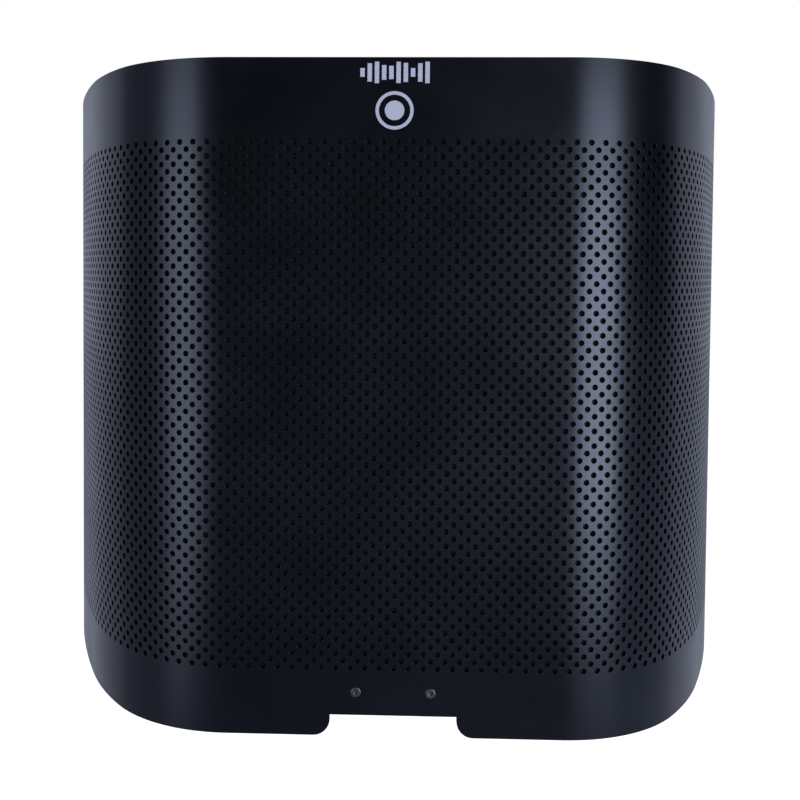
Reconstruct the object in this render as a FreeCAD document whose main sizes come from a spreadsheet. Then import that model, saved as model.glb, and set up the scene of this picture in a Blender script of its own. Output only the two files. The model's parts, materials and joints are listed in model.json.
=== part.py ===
import FreeCAD, Part

import math
import os

import Sketcher

# Microphone isolation shield: a bent steel shell lined with foam, carried on a slotted bar
# that screws onto a microphone stand and holds a sliding post for the microphone.
#
# Frame, in millimetres: the origin is the mouth of the stand socket, +Z is up, +Y runs from
# the closed back of the shell towards its open side, and +X is to the right seen from behind.

DIMENSIONS = {
    # shell, measured on its outer face
    "shell_height": 325.0,
    "shell_thickness": 1.5,
    "sheet_length": 600.0,
    "panel_width": 161.4,
    "bend_radius": 77.0,
    "bend_angle": 51.1,
    "wing_radius": 184.0,
    "wing_angle": 14.4,
    "tip_radius": 588.0,
    "shell_corner_radius": 12.0,
    "notch_width": 61.0,
    "notch_height": 10.2,
    "notch_lip_radius": 8.0,
    # foam lining
    "foam_thickness": 50.0,
    "foam_base": 24.0,
    "foam_tip_width": 5.0,
    "foam_ridges": 6,
    "foam_edge_margin": 2.0,
    "foam_end_margin": 8.0,
    "foam_centre_length": 200.0,
    "foam_relief": 11.0,
    "foam_relief_height": 1.5,
    # bracket behind the back panel
    "bracket_thickness": 3.0,
    "bracket_upright": 21.0,
    "bracket_bend_radius": 2.0,
    "bracket_corner_radius": 5.0,
    "bracket_overhang": 0.5,
    "screw_spacing": 36.0,
    "screw_height": 21.2,
    "screw_diameter": 2.5,
    "screw_head_diameter": 4.7,
    "screw_head_height": 1.2,
    "screw_socket_width": 2.0,
    "screw_socket_depth": 0.8,
    "nut_width": 5.0,
    "nut_thickness": 2.0,
    "nut_stand_out": 1.0,
    # bolts that clamp the bracket to the bar
    "bolt_setback": 80.0,
    "bolt_edge": 14.0,
    "bolt_spacing": 28.0,
    "bolt_diameter": 6.0,
    "bolt_head_diameter": 13.0,
    "bolt_crown_diameter": 6.0,
    "bolt_head_height": 3.2,
    "bolt_head_rim": 1.0,
    "bolt_neck_width": 6.0,
    "bolt_grip": 10.0,
    "washer_diameter": 16.0,
    "washer_thickness": 1.6,
    "knob_diameter": 25.0,
    "knob_height": 13.0,
    "knob_hub_diameter": 15.0,
    "knob_hub_height": 3.5,
    "knob_scallop_diameter": 8.0,
    "knob_scallop_offset": 1.3,
    "knob_bevel": 1.4,
    "knob_lobes": 6,
    "insert_diameter": 9.0,
    "insert_length": 11.0,
    # bar
    "bar_width": 50.0,
    "bar_thickness": 5.0,
    "bar_corner_radius": 9.0,
    "bar_rear_setback": 45.0,
    "bar_front_margin": 3.0,
    "slide_forward": 38.0,
    "slide_back": 10.0,
    # socket for the stand
    "stand_setback": 148.0,
    "socket_height": 24.0,
    "socket_diameter": 25.0,
    "socket_flange_diameter": 36.0,
    "socket_flange_thickness": 4.0,
    "socket_thread_diameter": 14.9,
    "socket_thread_depth": 17.0,
    "socket_bolt_circle": 30.0,
    # screws that hold the socket and the collar
    "flange_screw_count": 2,
    "flange_screw_diameter": 4.0,
    "flange_head_diameter": 7.0,
    "flange_head_height": 2.6,
    "flange_socket_width": 2.5,
    "flange_socket_depth": 1.5,
    # collar and microphone post
    "post_setback": 34.0,
    "collar_height": 28.0,
    "collar_diameter": 26.0,
    "collar_flange_diameter": 40.0,
    "collar_flange_thickness": 4.0,
    "collar_bolt_circle": 33.0,
    "post_diameter": 12.7,
    "post_travel": 40.0,
    "post_engagement": 5.0,
    "post_head_clearance": 2.0,
    "post_head_diameter": 22.0,
    "post_head_height": 3.0,
    "post_groove_depth": 1.2,
    "post_thread_diameter": 15.875,
    "post_thread_length": 14.0,
    "post_neck_diameter": 15.4,
    "post_neck_length": 7.0,
    "post_chamfer": 1.0,
    "thumb_screw_diameter": 5.0,
    "thumb_screw_grip": 10.0,
    "thumb_knob_diameter": 18.0,
    "thumb_knob_length": 13.0,
    "thumb_knob_flutes": 8,
    "thumb_flute_diameter": 4.0,
    "thumb_flute_offset": 0.7,
    "thumb_knob_gap": 0.6,
    "lock_ring_diameter": 30.0,
    "lock_ring_height": 6.0,
    "lock_ring_flutes": 10,
    "lock_flute_diameter": 4.0,
    "lock_flute_offset": 0.7,
    # clearances
    "slide_gap": 0.1,
    "running_gap": 0.2,
    "shaft_gap": 0.05,
    "hole_gap": 0.25,
    "soft_gap": 0.3,
    "edge_chamfer": 0.6,
}


class Size:
    """A length that knows both its value and the sheet expression that gives it."""

    def __init__(self, value, text):
        self.value = value
        self.text = text

    def __add__(self, other):
        other = as_size(other)
        return Size(self.value + other.value, f"({self.text} + {other.text})")

    def __sub__(self, other):
        other = as_size(other)
        return Size(self.value - other.value, f"({self.text} - {other.text})")

    def __mul__(self, factor):
        return Size(self.value * factor, f"({self.text} * {factor})")

    def __truediv__(self, factor):
        return Size(self.value / factor, f"({self.text} / {factor})")

    def __neg__(self):
        return Size(-self.value, f"(0 - {self.text})")


def as_size(number):
    """A plain number as a Size; a Size stays as it is."""
    if isinstance(number, Size):
        return number
    return Size(float(number), str(float(number)))


class Sizes:
    """The driving dimensions, each read from its cell by its alias."""

    def __init__(self, sheet):
        self.sheet = sheet

    def __getattr__(self, alias):
        return Size(float(self.sheet.get(alias)), "Sizes." + alias)


def make_sheet(doc):
    """Write the driving dimensions into the spreadsheet."""
    sheet = doc.addObject("Spreadsheet::Sheet", "Sizes")
    for row, (alias, value) in enumerate(DIMENSIONS.items(), start=1):
        sheet.set(f"A{row}", alias)
        sheet.set(f"B{row}", str(value))
        sheet.setAlias(f"B{row}", alias)
    doc.recompute()
    return sheet


doc = FreeCAD.newDocument("isolation_shield")
d = Sizes(make_sheet(doc))
nodes = {}


# ---------------------------------------------------------------- places used by several pieces

BAR_BOTTOM = d.socket_height
BAR_TOP = BAR_BOTTOM + d.bar_thickness
LEG_BOTTOM = BAR_TOP + d.slide_gap
LEG_TOP = LEG_BOTTOM + d.bracket_thickness
SHELL_BOTTOM = LEG_BOTTOM + d.bracket_overhang - d.notch_height
SHELL_BACK = -d.stand_setback
PANEL_INSIDE = SHELL_BACK + d.shell_thickness
UPRIGHT_INSIDE = PANEL_INSIDE + d.bracket_thickness
SCREW_LEVEL = SHELL_BOTTOM + d.screw_height
BOLT_LINE = SHELL_BACK + d.bolt_setback
WASHER_BOTTOM = BAR_BOTTOM - d.slide_gap - d.washer_thickness
KNOB_TOP = WASHER_BOTTOM - d.running_gap
KNOB_LENGTH = d.knob_hub_height + d.knob_height
BRACKET_WIDTH = d.bar_width
COLLAR_TOP = BAR_TOP + d.collar_height
THUMB_LEVEL = BAR_TOP + d.collar_flange_thickness + (d.collar_height - d.collar_flange_thickness) / 2
POST_HEAD_BOTTOM = COLLAR_TOP + d.post_travel / 2 + d.post_head_clearance
POST_NECK_BOTTOM = POST_HEAD_BOTTOM + d.post_head_height
POST_THREAD_BOTTOM = POST_NECK_BOTTOM + d.post_neck_length
POST_TOP = POST_THREAD_BOTTOM + d.post_thread_length
POST_BOTTOM = BAR_TOP + d.post_engagement - d.post_travel / 2


# ---------------------------------------------------------------- tools for parametric bodies

def new_body(name, x=0, y=0, z=0, rotation=None):
    """A PartDesign body, placed by expressions, that becomes the node of that name."""
    body = doc.addObject("PartDesign::Body", name)
    body.Label = name
    if rotation is not None:
        body.Placement = FreeCAD.Placement(FreeCAD.Vector(0, 0, 0), rotation)
    for axis, place in (("x", x), ("y", y), ("z", z)):
        body.setExpression(f".Placement.Base.{axis}", as_size(place).text)
    return body


def origin_feature(body, role):
    """The origin plane or axis of a body that has this role, such as XY_Plane."""
    return next(item for item in body.Origin.OriginFeatures if item.Role == role)


def new_sketch(body, name, plane, offset=0):
    """A sketch on one of the body's own origin planes, moved along that plane's normal."""
    sketch = body.newObject("Sketcher::SketchObject", name)
    sketch.AttachmentSupport = (origin_feature(body, plane), [""])
    sketch.MapMode = "FlatFace"
    sketch.setExpression(".AttachmentOffset.Base.z", as_size(offset).text)
    return sketch


def constrain(sketch, kind, references, size):
    """Add a dimension and bind it to its expression."""
    index = sketch.addConstraint(Sketcher.Constraint(kind, *references, size.value))
    sketch.setExpression(f"Constraints[{index}]", size.text)


def pin_point(sketch, geometry, point, x, y):
    """Fix a point of the sketch at x, y from the sketch's origin."""
    for kind, axis, place in (("DistanceX", -2, as_size(x)), ("DistanceY", -1, as_size(y))):
        if place.value == 0:
            sketch.addConstraint(Sketcher.Constraint("PointOnObject", geometry, point, axis))
        else:
            constrain(sketch, kind, (-1, 1, geometry, point), place)


def add_polygon(sketch, corners):
    """A closed outline through corners, each a pair of sizes."""
    points = [FreeCAD.Vector(as_size(x).value, as_size(y).value, 0) for x, y in corners]
    first = sketch.GeometryCount
    count = len(points)
    for index in range(count):
        line = Part.LineSegment(points[index], points[(index + 1) % count])
        sketch.addGeometry(line, False)
    for index in range(count):
        following = first + (index + 1) % count
        sketch.addConstraint(Sketcher.Constraint("Coincident", first + index, 2, following, 1))
    for index, (x, y) in enumerate(corners):
        pin_point(sketch, first + index, 1, x, y)


def add_rectangle(sketch, left, bottom, right, top):
    """An upright rectangle."""
    add_polygon(sketch, [(left, bottom), (right, bottom), (right, top), (left, top)])


def add_circle(sketch, x, y, diameter):
    """A circle about x, y."""
    centre = FreeCAD.Vector(as_size(x).value, as_size(y).value, 0)
    index = sketch.addGeometry(Part.Circle(centre, FreeCAD.Vector(0, 0, 1), diameter.value / 2), False)
    pin_point(sketch, index, 3, x, y)
    constrain(sketch, "Diameter", (index,), diameter)


def add_slot(sketch, x, low, high, width):
    """A round-ended slot of this width along the sketch's y, from centre low to centre high."""
    x, low, high = as_size(x), as_size(low), as_size(high)
    radius = width.value / 2
    normal = FreeCAD.Vector(0, 0, 1)
    upper = Part.Circle(FreeCAD.Vector(x.value, high.value, 0), normal, radius)
    lower = Part.Circle(FreeCAD.Vector(x.value, low.value, 0), normal, radius)
    right = (FreeCAD.Vector(x.value + radius, low.value, 0), FreeCAD.Vector(x.value + radius, high.value, 0))
    left = (FreeCAD.Vector(x.value - radius, high.value, 0), FreeCAD.Vector(x.value - radius, low.value, 0))
    top_arc = sketch.addGeometry(Part.ArcOfCircle(upper, 0, math.pi), False)
    low_arc = sketch.addGeometry(Part.ArcOfCircle(lower, math.pi, 2 * math.pi), False)
    right_line = sketch.addGeometry(Part.LineSegment(*right), False)
    left_line = sketch.addGeometry(Part.LineSegment(*left), False)
    for joint in (
        (top_arc, 1, right_line, 2),
        (top_arc, 2, left_line, 1),
        (left_line, 2, low_arc, 1),
        (low_arc, 2, right_line, 1),
    ):
        sketch.addConstraint(Sketcher.Constraint("Tangent", *joint))
    sketch.addConstraint(Sketcher.Constraint("Equal", top_arc, low_arc))
    pin_point(sketch, top_arc, 3, x, high)
    pin_point(sketch, low_arc, 3, x, low)
    constrain(sketch, "Radius", (top_arc,), width / 2)


def add_hexagon(sketch, across_flats):
    """A regular hexagon about the sketch's origin, two of its flats across x."""
    corner = across_flats / math.sqrt(3)
    corners = [(corner * math.cos(math.radians(60 * turn)), corner * math.sin(math.radians(60 * turn)))
               for turn in range(6)]
    add_polygon(sketch, corners)


def pad(body, name, sketch, length):
    """Extrude the sketch along its normal."""
    feature = body.newObject("PartDesign::Pad", name)
    feature.Profile = sketch
    feature.setExpression("Length", as_size(length).text)
    return feature


def pocket(body, name, sketch, length=None, along_normal=False):
    """Cut the sketch against its normal or along it, to a depth or through everything."""
    before = body.Tip
    feature = body.newObject("PartDesign::Pocket", name)
    feature.Profile = sketch
    feature.Reversed = along_normal
    if length is None:
        feature.Type = "ThroughAll"
    else:
        feature.setExpression("Length", as_size(length).text)
    doc.recompute()
    if not feature.Shape.Volume < before.Shape.Volume:
        raise RuntimeError(f"{body.Label}: {name} removes nothing")
    return feature


def revolve(body, name, corners):
    """Turn a half outline, drawn in the X-Z plane, about the body's Z axis."""
    sketch = new_sketch(body, name + "_profile", "XZ_Plane")
    add_polygon(sketch, corners)
    feature = body.newObject("PartDesign::Revolution", name)
    feature.Profile = sketch
    feature.ReferenceAxis = (sketch, ["V_Axis"])
    feature.Angle = 360
    return feature


def repeat_round(body, name, feature, count):
    """Repeat a feature evenly about the body's Z axis."""
    pattern = body.newObject("PartDesign::PolarPattern", name)
    pattern.Originals = [feature]
    pattern.Axis = (origin_feature(body, "Z_Axis"), [""])
    pattern.Angle = 360
    pattern.Occurrences = int(count.value)
    body.Tip = pattern
    return pattern


def edge_names(shape, wanted):
    """Names of the edges for which wanted(edge) is true."""
    return [f"Edge{number}" for number, edge in enumerate(shape.Edges, start=1) if wanted(edge)]


def fillet(body, name, radius, wanted):
    """Round the edges that wanted picks from the body's last feature."""
    doc.recompute()
    base = body.Tip
    feature = body.newObject("PartDesign::Fillet", name)
    feature.Base = (base, edge_names(base.Shape, wanted))
    feature.setExpression("Radius", as_size(radius).text)
    return feature


def chamfer(body, name, size, wanted):
    """Bevel the edges that wanted picks from the body's last feature."""
    doc.recompute()
    base = body.Tip
    feature = body.newObject("PartDesign::Chamfer", name)
    feature.Base = (base, edge_names(base.Shape, wanted))
    feature.setExpression("Size", as_size(size).text)
    return feature


def is_upright(edge):
    """A straight edge along Z."""
    first, last = edge.Vertexes[0].Point, edge.Vertexes[-1].Point
    return abs(first.x - last.x) < 1e-6 and abs(first.y - last.y) < 1e-6 and abs(first.z - last.z) > 1e-6


def finish(body):
    """Recompute and register the body as a node."""
    doc.recompute()
    nodes[body.Label] = body
    return body


def shape_node(name, shape):
    """A node whose shape is made by code."""
    item = doc.addObject("Part::Feature", name)
    item.Label = name
    item.Shape = shape
    item.Placement = FreeCAD.Placement()
    nodes[name] = item
    return item


def copies_node(name, pattern, places):
    """One node that holds identical copies of a body as separate solids."""
    doc.recompute()
    copies = []
    for place in places:
        copy = pattern.Shape.copy()
        copy.translate(FreeCAD.Vector(*[as_size(value).value for value in place]))
        copies.append(copy)
    return shape_node(name, Part.makeCompound(copies))


# ---------------------------------------------------------------- bent sheet

def half_course():
    """Stretches of the outer face from the middle outwards, as (length, radius)."""
    bend = math.radians(d.bend_angle.value) * d.bend_radius.value
    wing = math.radians(d.wing_angle.value) * d.wing_radius.value
    flat = d.panel_width.value / 2
    rest = d.sheet_length.value / 2 - flat - bend - wing
    return [
        (flat, None),
        (bend, d.bend_radius.value),
        (wing, d.wing_radius.value),
        (rest, d.tip_radius.value),
    ]


def point_at(along, depth):
    """The point at this length along the outer face from its middle, and this deep into the shell."""
    side = 1 if along >= 0 else -1
    left = abs(along)
    x, y, heading = 0.0, SHELL_BACK.value, 0.0
    for length, radius in half_course():
        step = min(left, length)
        if radius is None:
            x += step
        else:
            turn = step / radius
            x += radius * (math.sin(heading + turn) - math.sin(heading))
            y += radius * (math.cos(heading) - math.cos(heading + turn))
            heading += turn
        left -= step
        if left <= 0:
            break
    x -= depth * math.sin(heading)
    y += depth * math.cos(heading)
    return FreeCAD.Vector(side * x, y, 0)


def course_edges(start, end, depth):
    """Lines and arcs that follow the shell at one depth, between two lengths along its outer face."""
    breaks = [0.0]
    for length, _ in half_course():
        breaks.append(breaks[-1] + length)
    both_sides = {side * mark for mark in breaks for side in (-1, 1)}
    marks = sorted({start, end} | {mark for mark in both_sides if start < mark < end})
    flat = breaks[1]
    edges = []
    for low, high in zip(marks, marks[1:]):
        ends = point_at(low, depth), point_at(high, depth)
        middle = (low + high) / 2
        if abs(middle) < flat:
            edges.append(Part.LineSegment(*ends).toShape())
        else:
            edges.append(Part.Arc(ends[0], point_at(middle, depth), ends[1]).toShape())
    return edges


def standing_solid(edges, bottom, height):
    """Raise a closed outline in the X-Y plane into a solid."""
    face = Part.Face(Part.Wire(Part.__sortEdges__(edges)))
    face.translate(FreeCAD.Vector(0, 0, bottom))
    return face.extrude(FreeCAD.Vector(0, 0, height))


def block(left, back, bottom, right, front, top):
    """A box between two corners."""
    corner = FreeCAD.Vector(left, back, bottom)
    return Part.makeBox(right - left, front - back, top - bottom, corner)


def make_shell():
    """The bent sheet, with its rounded free corners, bottom notch and countersunk screw holes.

    The sheet's fine perforation, some six thousand holes 2.7 mm wide, is left out.
    """
    half = d.sheet_length.value / 2
    thickness = d.shell_thickness.value
    edges = course_edges(-half, half, 0.0) + course_edges(-half, half, thickness)
    for end in (-half, half):
        edges.append(Part.LineSegment(point_at(end, 0.0), point_at(end, thickness)).toShape())
    bottom = SHELL_BOTTOM.value
    top = bottom + d.shell_height.value
    sheet = standing_solid(edges, bottom, d.shell_height.value)

    tip = abs(point_at(half, 0.0).x)
    corners = [edge for edge in sheet.Edges
               if edge.Length < 1.01 * thickness
               and abs(abs(edge.CenterOfMass.x) - tip) < 2 * thickness
               and min(abs(edge.CenterOfMass.z - bottom), abs(edge.CenterOfMass.z - top)) < 1e-6]
    sheet = sheet.makeFillet(d.shell_corner_radius.value, corners)

    notch = d.notch_width.value / 2
    notch_top = bottom + d.notch_height.value
    back = SHELL_BACK.value - thickness
    front = PANEL_INSIDE.value + thickness
    sheet = sheet.cut(block(-notch, back, bottom - thickness, notch, front, notch_top))
    lips = [edge for edge in sheet.Edges
            if abs(edge.Length - thickness) < 1e-6
            and abs(abs(edge.CenterOfMass.x) - notch) < 1e-6
            and abs(edge.CenterOfMass.z - bottom) < 1e-6]
    sheet = sheet.makeFillet(d.notch_lip_radius.value, lips)

    for side in (-1, 1):
        mouth = FreeCAD.Vector(side * d.screw_spacing.value / 2, SHELL_BACK.value, SCREW_LEVEL.value)
        inward = FreeCAD.Vector(0, 1, 0)
        gap = d.shaft_gap.value
        radius = d.screw_diameter.value / 2 + gap
        wide = d.screw_head_diameter.value / 2 + gap
        sink = Part.makeCone(wide, radius, d.screw_head_height.value, mouth, inward)
        hole = Part.makeCylinder(radius, 2 * thickness, mouth, inward)
        sheet = sheet.cut(sink.fuse(hole))
    return shape_node("shell", sheet.removeSplitter())


def foam_solid(start, end):
    """Foam with upright ridges, following the shell between two lengths along its outer face."""
    back = d.shell_thickness.value + d.soft_gap.value
    valley = back + d.foam_base.value
    crest = back + d.foam_thickness.value
    count = int(d.foam_ridges.value)
    pitch = (end - start) / count
    front = [point_at(start, valley)]
    for ridge in range(count):
        middle = start + (ridge + 0.5) * pitch
        front.append(point_at(middle - d.foam_tip_width.value / 2, crest))
        front.append(point_at(middle + d.foam_tip_width.value / 2, crest))
        front.append(point_at(start + (ridge + 1) * pitch, valley))
    edges = course_edges(start, end, back)
    edges += [Part.LineSegment(a, b).toShape() for a, b in zip(front, front[1:])]
    edges.append(Part.LineSegment(point_at(start, back), front[0]).toShape())
    edges.append(Part.LineSegment(point_at(end, back), front[-1]).toShape())
    margin = d.foam_edge_margin.value
    return standing_solid(edges, SHELL_BOTTOM.value + margin, d.shell_height.value - 2 * margin)


def make_foam():
    """Three foam panels; the middle one is relieved round the bracket and over the bar."""
    middle = d.foam_centre_length.value / 2
    end = d.sheet_length.value / 2 - d.foam_end_margin.value
    seam = d.soft_gap.value
    shape_node("foam_left", foam_solid(-end, -middle - seam))
    shape_node("foam_right", foam_solid(middle + seam, end))

    half = BRACKET_WIDTH.value / 2 + d.foam_relief.value
    back = PANEL_INSIDE.value
    front = back + 2 * d.foam_thickness.value
    low = SHELL_BOTTOM.value
    over_leg = LEG_TOP.value + d.foam_relief_height.value
    passage = block(-half, back, low, half, front, over_leg)
    nut_end = UPRIGHT_INSIDE.value + d.nut_thickness.value + d.nut_stand_out.value + d.soft_gap.value
    upright_top = LEG_BOTTOM.value + d.bracket_upright.value + d.foam_relief_height.value
    niche_half = BRACKET_WIDTH.value / 2 + d.foam_relief_height.value
    niche = block(-niche_half, back, low, niche_half, nut_end, upright_top)
    shape_node("foam_centre", foam_solid(-middle, middle).cut(passage).cut(niche))


# ---------------------------------------------------------------- bracket and its fasteners

def make_bracket():
    """Bent steel angle: its upright is screwed to the back panel, its leg lies on the bar."""
    body = new_body("shell_bracket")
    half = BRACKET_WIDTH / 2
    leg_end = BOLT_LINE + d.bolt_edge
    upright_top = LEG_BOTTOM + d.bracket_upright
    profile = new_sketch(body, "angle_profile", "YZ_Plane", -half)
    add_polygon(profile, [
        (PANEL_INSIDE, LEG_BOTTOM),
        (leg_end, LEG_BOTTOM),
        (leg_end, LEG_TOP),
        (UPRIGHT_INSIDE, LEG_TOP),
        (UPRIGHT_INSIDE, upright_top),
        (PANEL_INSIDE, upright_top),
    ])
    pad(body, "angle", profile, BRACKET_WIDTH)

    def at(y, z):
        def wanted(edge):
            centre = edge.CenterOfMass
            along_x = abs(edge.Length - BRACKET_WIDTH.value) < 1e-6
            return along_x and abs(centre.y - y.value) < 1e-6 and abs(centre.z - z.value) < 1e-6
        return wanted

    fillet(body, "inner_bend", d.bracket_bend_radius, at(UPRIGHT_INSIDE, LEG_TOP))
    fillet(body, "outer_bend", d.bracket_bend_radius + d.bracket_thickness, at(PANEL_INSIDE, LEG_BOTTOM))

    def leg_corner(edge):
        return is_upright(edge) and abs(edge.CenterOfMass.y - leg_end.value) < 1e-6

    def upright_corner(edge):
        centre = edge.CenterOfMass
        short = abs(edge.Length - d.bracket_thickness.value) < 1e-6
        at_side = abs(abs(centre.x) - half.value) < 1e-6
        return short and at_side and abs(centre.z - upright_top.value) < 1e-6

    fillet(body, "leg_corners", d.bracket_corner_radius, leg_corner)
    fillet(body, "upright_corners", d.bracket_corner_radius, upright_corner)

    screw_holes = new_sketch(body, "screw_holes", "XZ_Plane", -PANEL_INSIDE)
    bolt_holes = new_sketch(body, "bolt_holes", "XY_Plane", LEG_TOP)
    reach = d.bolt_neck_width / 2 + d.shaft_gap
    for side in (-1, 1):
        add_circle(screw_holes, d.screw_spacing / 2 * side, SCREW_LEVEL, d.screw_diameter + d.shaft_gap * 2)
        centre = d.bolt_spacing / 2 * side
        add_rectangle(bolt_holes, centre - reach, BOLT_LINE - reach, centre + reach, BOLT_LINE + reach)
    pocket(body, "screw_clearance", screw_holes, d.bracket_thickness)
    pocket(body, "square_clearance", bolt_holes, d.bracket_thickness)
    return finish(body)


def make_bracket_fasteners():
    """Two countersunk socket screws through the shell, and their nuts."""
    along_y = FreeCAD.Rotation(FreeCAD.Vector(1, 0, 0), -90)
    radius = d.screw_diameter / 2
    length = d.shell_thickness + d.bracket_thickness + d.nut_thickness + d.nut_stand_out
    screw = new_body("bracket_screw", 0, SHELL_BACK, SCREW_LEVEL, along_y)
    revolve(screw, "turned", [
        (0, 0),
        (d.screw_head_diameter / 2, 0),
        (radius, d.screw_head_height),
        (radius, length),
        (0, length),
    ])
    recess = new_sketch(screw, "recess", "XY_Plane", 0)
    add_hexagon(recess, d.screw_socket_width)
    pocket(screw, "hex_socket", recess, d.screw_socket_depth, along_normal=True)

    nut = new_body("bracket_nut", 0, UPRIGHT_INSIDE, SCREW_LEVEL, along_y)
    outline = new_sketch(nut, "outline", "XY_Plane")
    add_hexagon(outline, d.nut_width)
    add_circle(outline, 0, 0, d.screw_diameter + d.shaft_gap * 2)
    pad(nut, "hexagon", outline, d.nut_thickness)
    doc.recompute()

    places = [(d.screw_spacing / 2 * side, 0, 0) for side in (-1, 1)]
    copies_node("bracket_screws", screw, places)
    copies_node("bracket_nuts", nut, places)


# ---------------------------------------------------------------- bar and what clamps it

def make_bar():
    """Flat bar with two slots for the clamp bolts and holes for the socket, collar and post."""
    body = new_body("mount_bar")
    half = d.bar_width / 2
    rear = SHELL_BACK + d.bar_rear_setback
    front = d.post_setback + d.collar_flange_diameter / 2 + d.bar_front_margin
    outline = new_sketch(body, "outline", "XY_Plane", BAR_BOTTOM)
    add_rectangle(outline, -half, rear, half, front)
    pad(body, "flat", outline, d.bar_thickness)
    fillet(body, "corners", d.bar_corner_radius, is_upright)

    holes = new_sketch(body, "openings", "XY_Plane", BAR_TOP)
    slot_width = d.bolt_diameter + d.hole_gap * 2
    for side in (-1, 1):
        low = BOLT_LINE - d.slide_back
        add_slot(holes, d.bolt_spacing / 2 * side, low, BOLT_LINE + d.slide_forward, slot_width)
    add_circle(holes, 0, d.post_setback, d.post_diameter + d.hole_gap * 2)
    for circle, centre in ((d.socket_bolt_circle, as_size(0)), (d.collar_bolt_circle, d.post_setback)):
        for x, y in flange_screw_places(circle, centre):
            add_circle(holes, x, y, d.flange_screw_diameter + d.shaft_gap * 2)
    pocket(body, "openings_cut", holes, d.bar_thickness)

    def on_top_or_bottom(edge):
        box = edge.BoundBox
        flat = box.ZLength < 1e-6
        outer = box.XMax > half.value - 1e-3 or box.XMin < 1e-3 - half.value
        end = box.YMin < rear.value + 1e-3 or box.YMax > front.value - 1e-3
        return flat and (outer or end)

    chamfer(body, "edge_break", d.edge_chamfer, on_top_or_bottom)
    return finish(body)


def flange_screw_places(circle, centre):
    """Centres of the evenly spaced flange screws on a bolt circle, the first at +X."""
    count = int(d.flange_screw_count.value)
    turns = [2 * math.pi * index / count for index in range(count)]
    return [(circle * (math.cos(turn) / 2), centre + circle * (math.sin(turn) / 2)) for turn in turns]


def make_clamp_bolts():
    """Two carriage bolts: crowned heads on the bracket, square necks in it, shanks down into the knobs."""
    bolt = new_body("clamp_bolt", 0, BOLT_LINE, LEG_TOP)
    radius = d.bolt_diameter / 2
    head = d.bolt_head_diameter / 2
    grip_end = KNOB_TOP - d.bolt_grip - LEG_TOP
    revolve(bolt, "turned", [
        (0, grip_end),
        (radius, grip_end),
        (radius, 0),
        (head, 0),
        (head, d.bolt_head_rim),
        (d.bolt_crown_diameter / 2, d.bolt_head_height),
        (0, d.bolt_head_height),
    ])
    neck = new_sketch(bolt, "neck", "XY_Plane", -d.bracket_thickness)
    reach = d.bolt_neck_width / 2
    add_rectangle(neck, -reach, -reach, reach, reach)
    pad(bolt, "square_neck", neck, d.bracket_thickness)
    doc.recompute()
    places = [(d.bolt_spacing / 2 * side, 0, 0) for side in (-1, 1)]
    copies_node("clamp_bolts", bolt, places)


def make_washers():
    """Two flat washers between the bar and the knobs."""
    washer = new_body("clamp_washer", 0, BOLT_LINE, WASHER_BOTTOM)
    outline = new_sketch(washer, "outline", "XY_Plane")
    add_circle(outline, 0, 0, d.washer_diameter)
    add_circle(outline, 0, 0, d.bolt_diameter + d.hole_gap * 2)
    pad(washer, "disc", outline, d.washer_thickness)
    doc.recompute()
    places = [(d.bolt_spacing / 2 * side, 0, 0) for side in (-1, 1)]
    copies_node("clamp_washers", washer, places)


def make_knob(side_name, side):
    """Moulded star knob with a hub, and the brass insert that the bolt screws into."""
    x = d.bolt_spacing / 2 * side
    knob = new_body("clamp_knob_" + side_name, x, BOLT_LINE, KNOB_TOP)
    hub = new_sketch(knob, "hub_outline", "XY_Plane", -d.knob_hub_height)
    add_circle(hub, 0, 0, d.knob_hub_diameter)
    pad(knob, "hub", hub, d.knob_hub_height)
    grip = new_sketch(knob, "grip_outline", "XY_Plane", -KNOB_LENGTH)
    add_circle(grip, 0, 0, d.knob_diameter)
    pad(knob, "grip", grip, d.knob_height)

    def lower_rim(edge):
        low = abs(edge.CenterOfMass.z + KNOB_LENGTH.value) < 1e-6
        return low and abs(edge.Length - math.pi * d.knob_diameter.value) < 1e-3

    chamfer(knob, "rim_bevel", d.knob_bevel, lower_rim)
    doc.recompute()
    scallop = new_sketch(knob, "scallop_outline", "XY_Plane", -d.knob_hub_height)
    add_circle(scallop, d.knob_diameter / 2 + d.knob_scallop_offset, 0, d.knob_scallop_diameter)
    cut = pocket(knob, "scallop", scallop, d.knob_height)
    repeat_round(knob, "scallops", cut, d.knob_lobes)
    doc.recompute()
    seat = new_sketch(knob, "insert_seat", "XY_Plane", 0)
    add_circle(seat, 0, 0, d.insert_diameter)
    pocket(knob, "seat", seat, d.insert_length)
    finish(knob)

    insert = new_body("knob_insert_" + side_name, x, BOLT_LINE, KNOB_TOP)
    ring = new_sketch(insert, "ring", "XY_Plane", -d.insert_length)
    add_circle(ring, 0, 0, d.insert_diameter - d.shaft_gap * 2)
    add_circle(ring, 0, 0, d.bolt_diameter + d.shaft_gap * 2)
    pad(insert, "bush", ring, d.insert_length)
    finish(insert)


# ---------------------------------------------------------------- stand socket, collar and post

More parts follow.
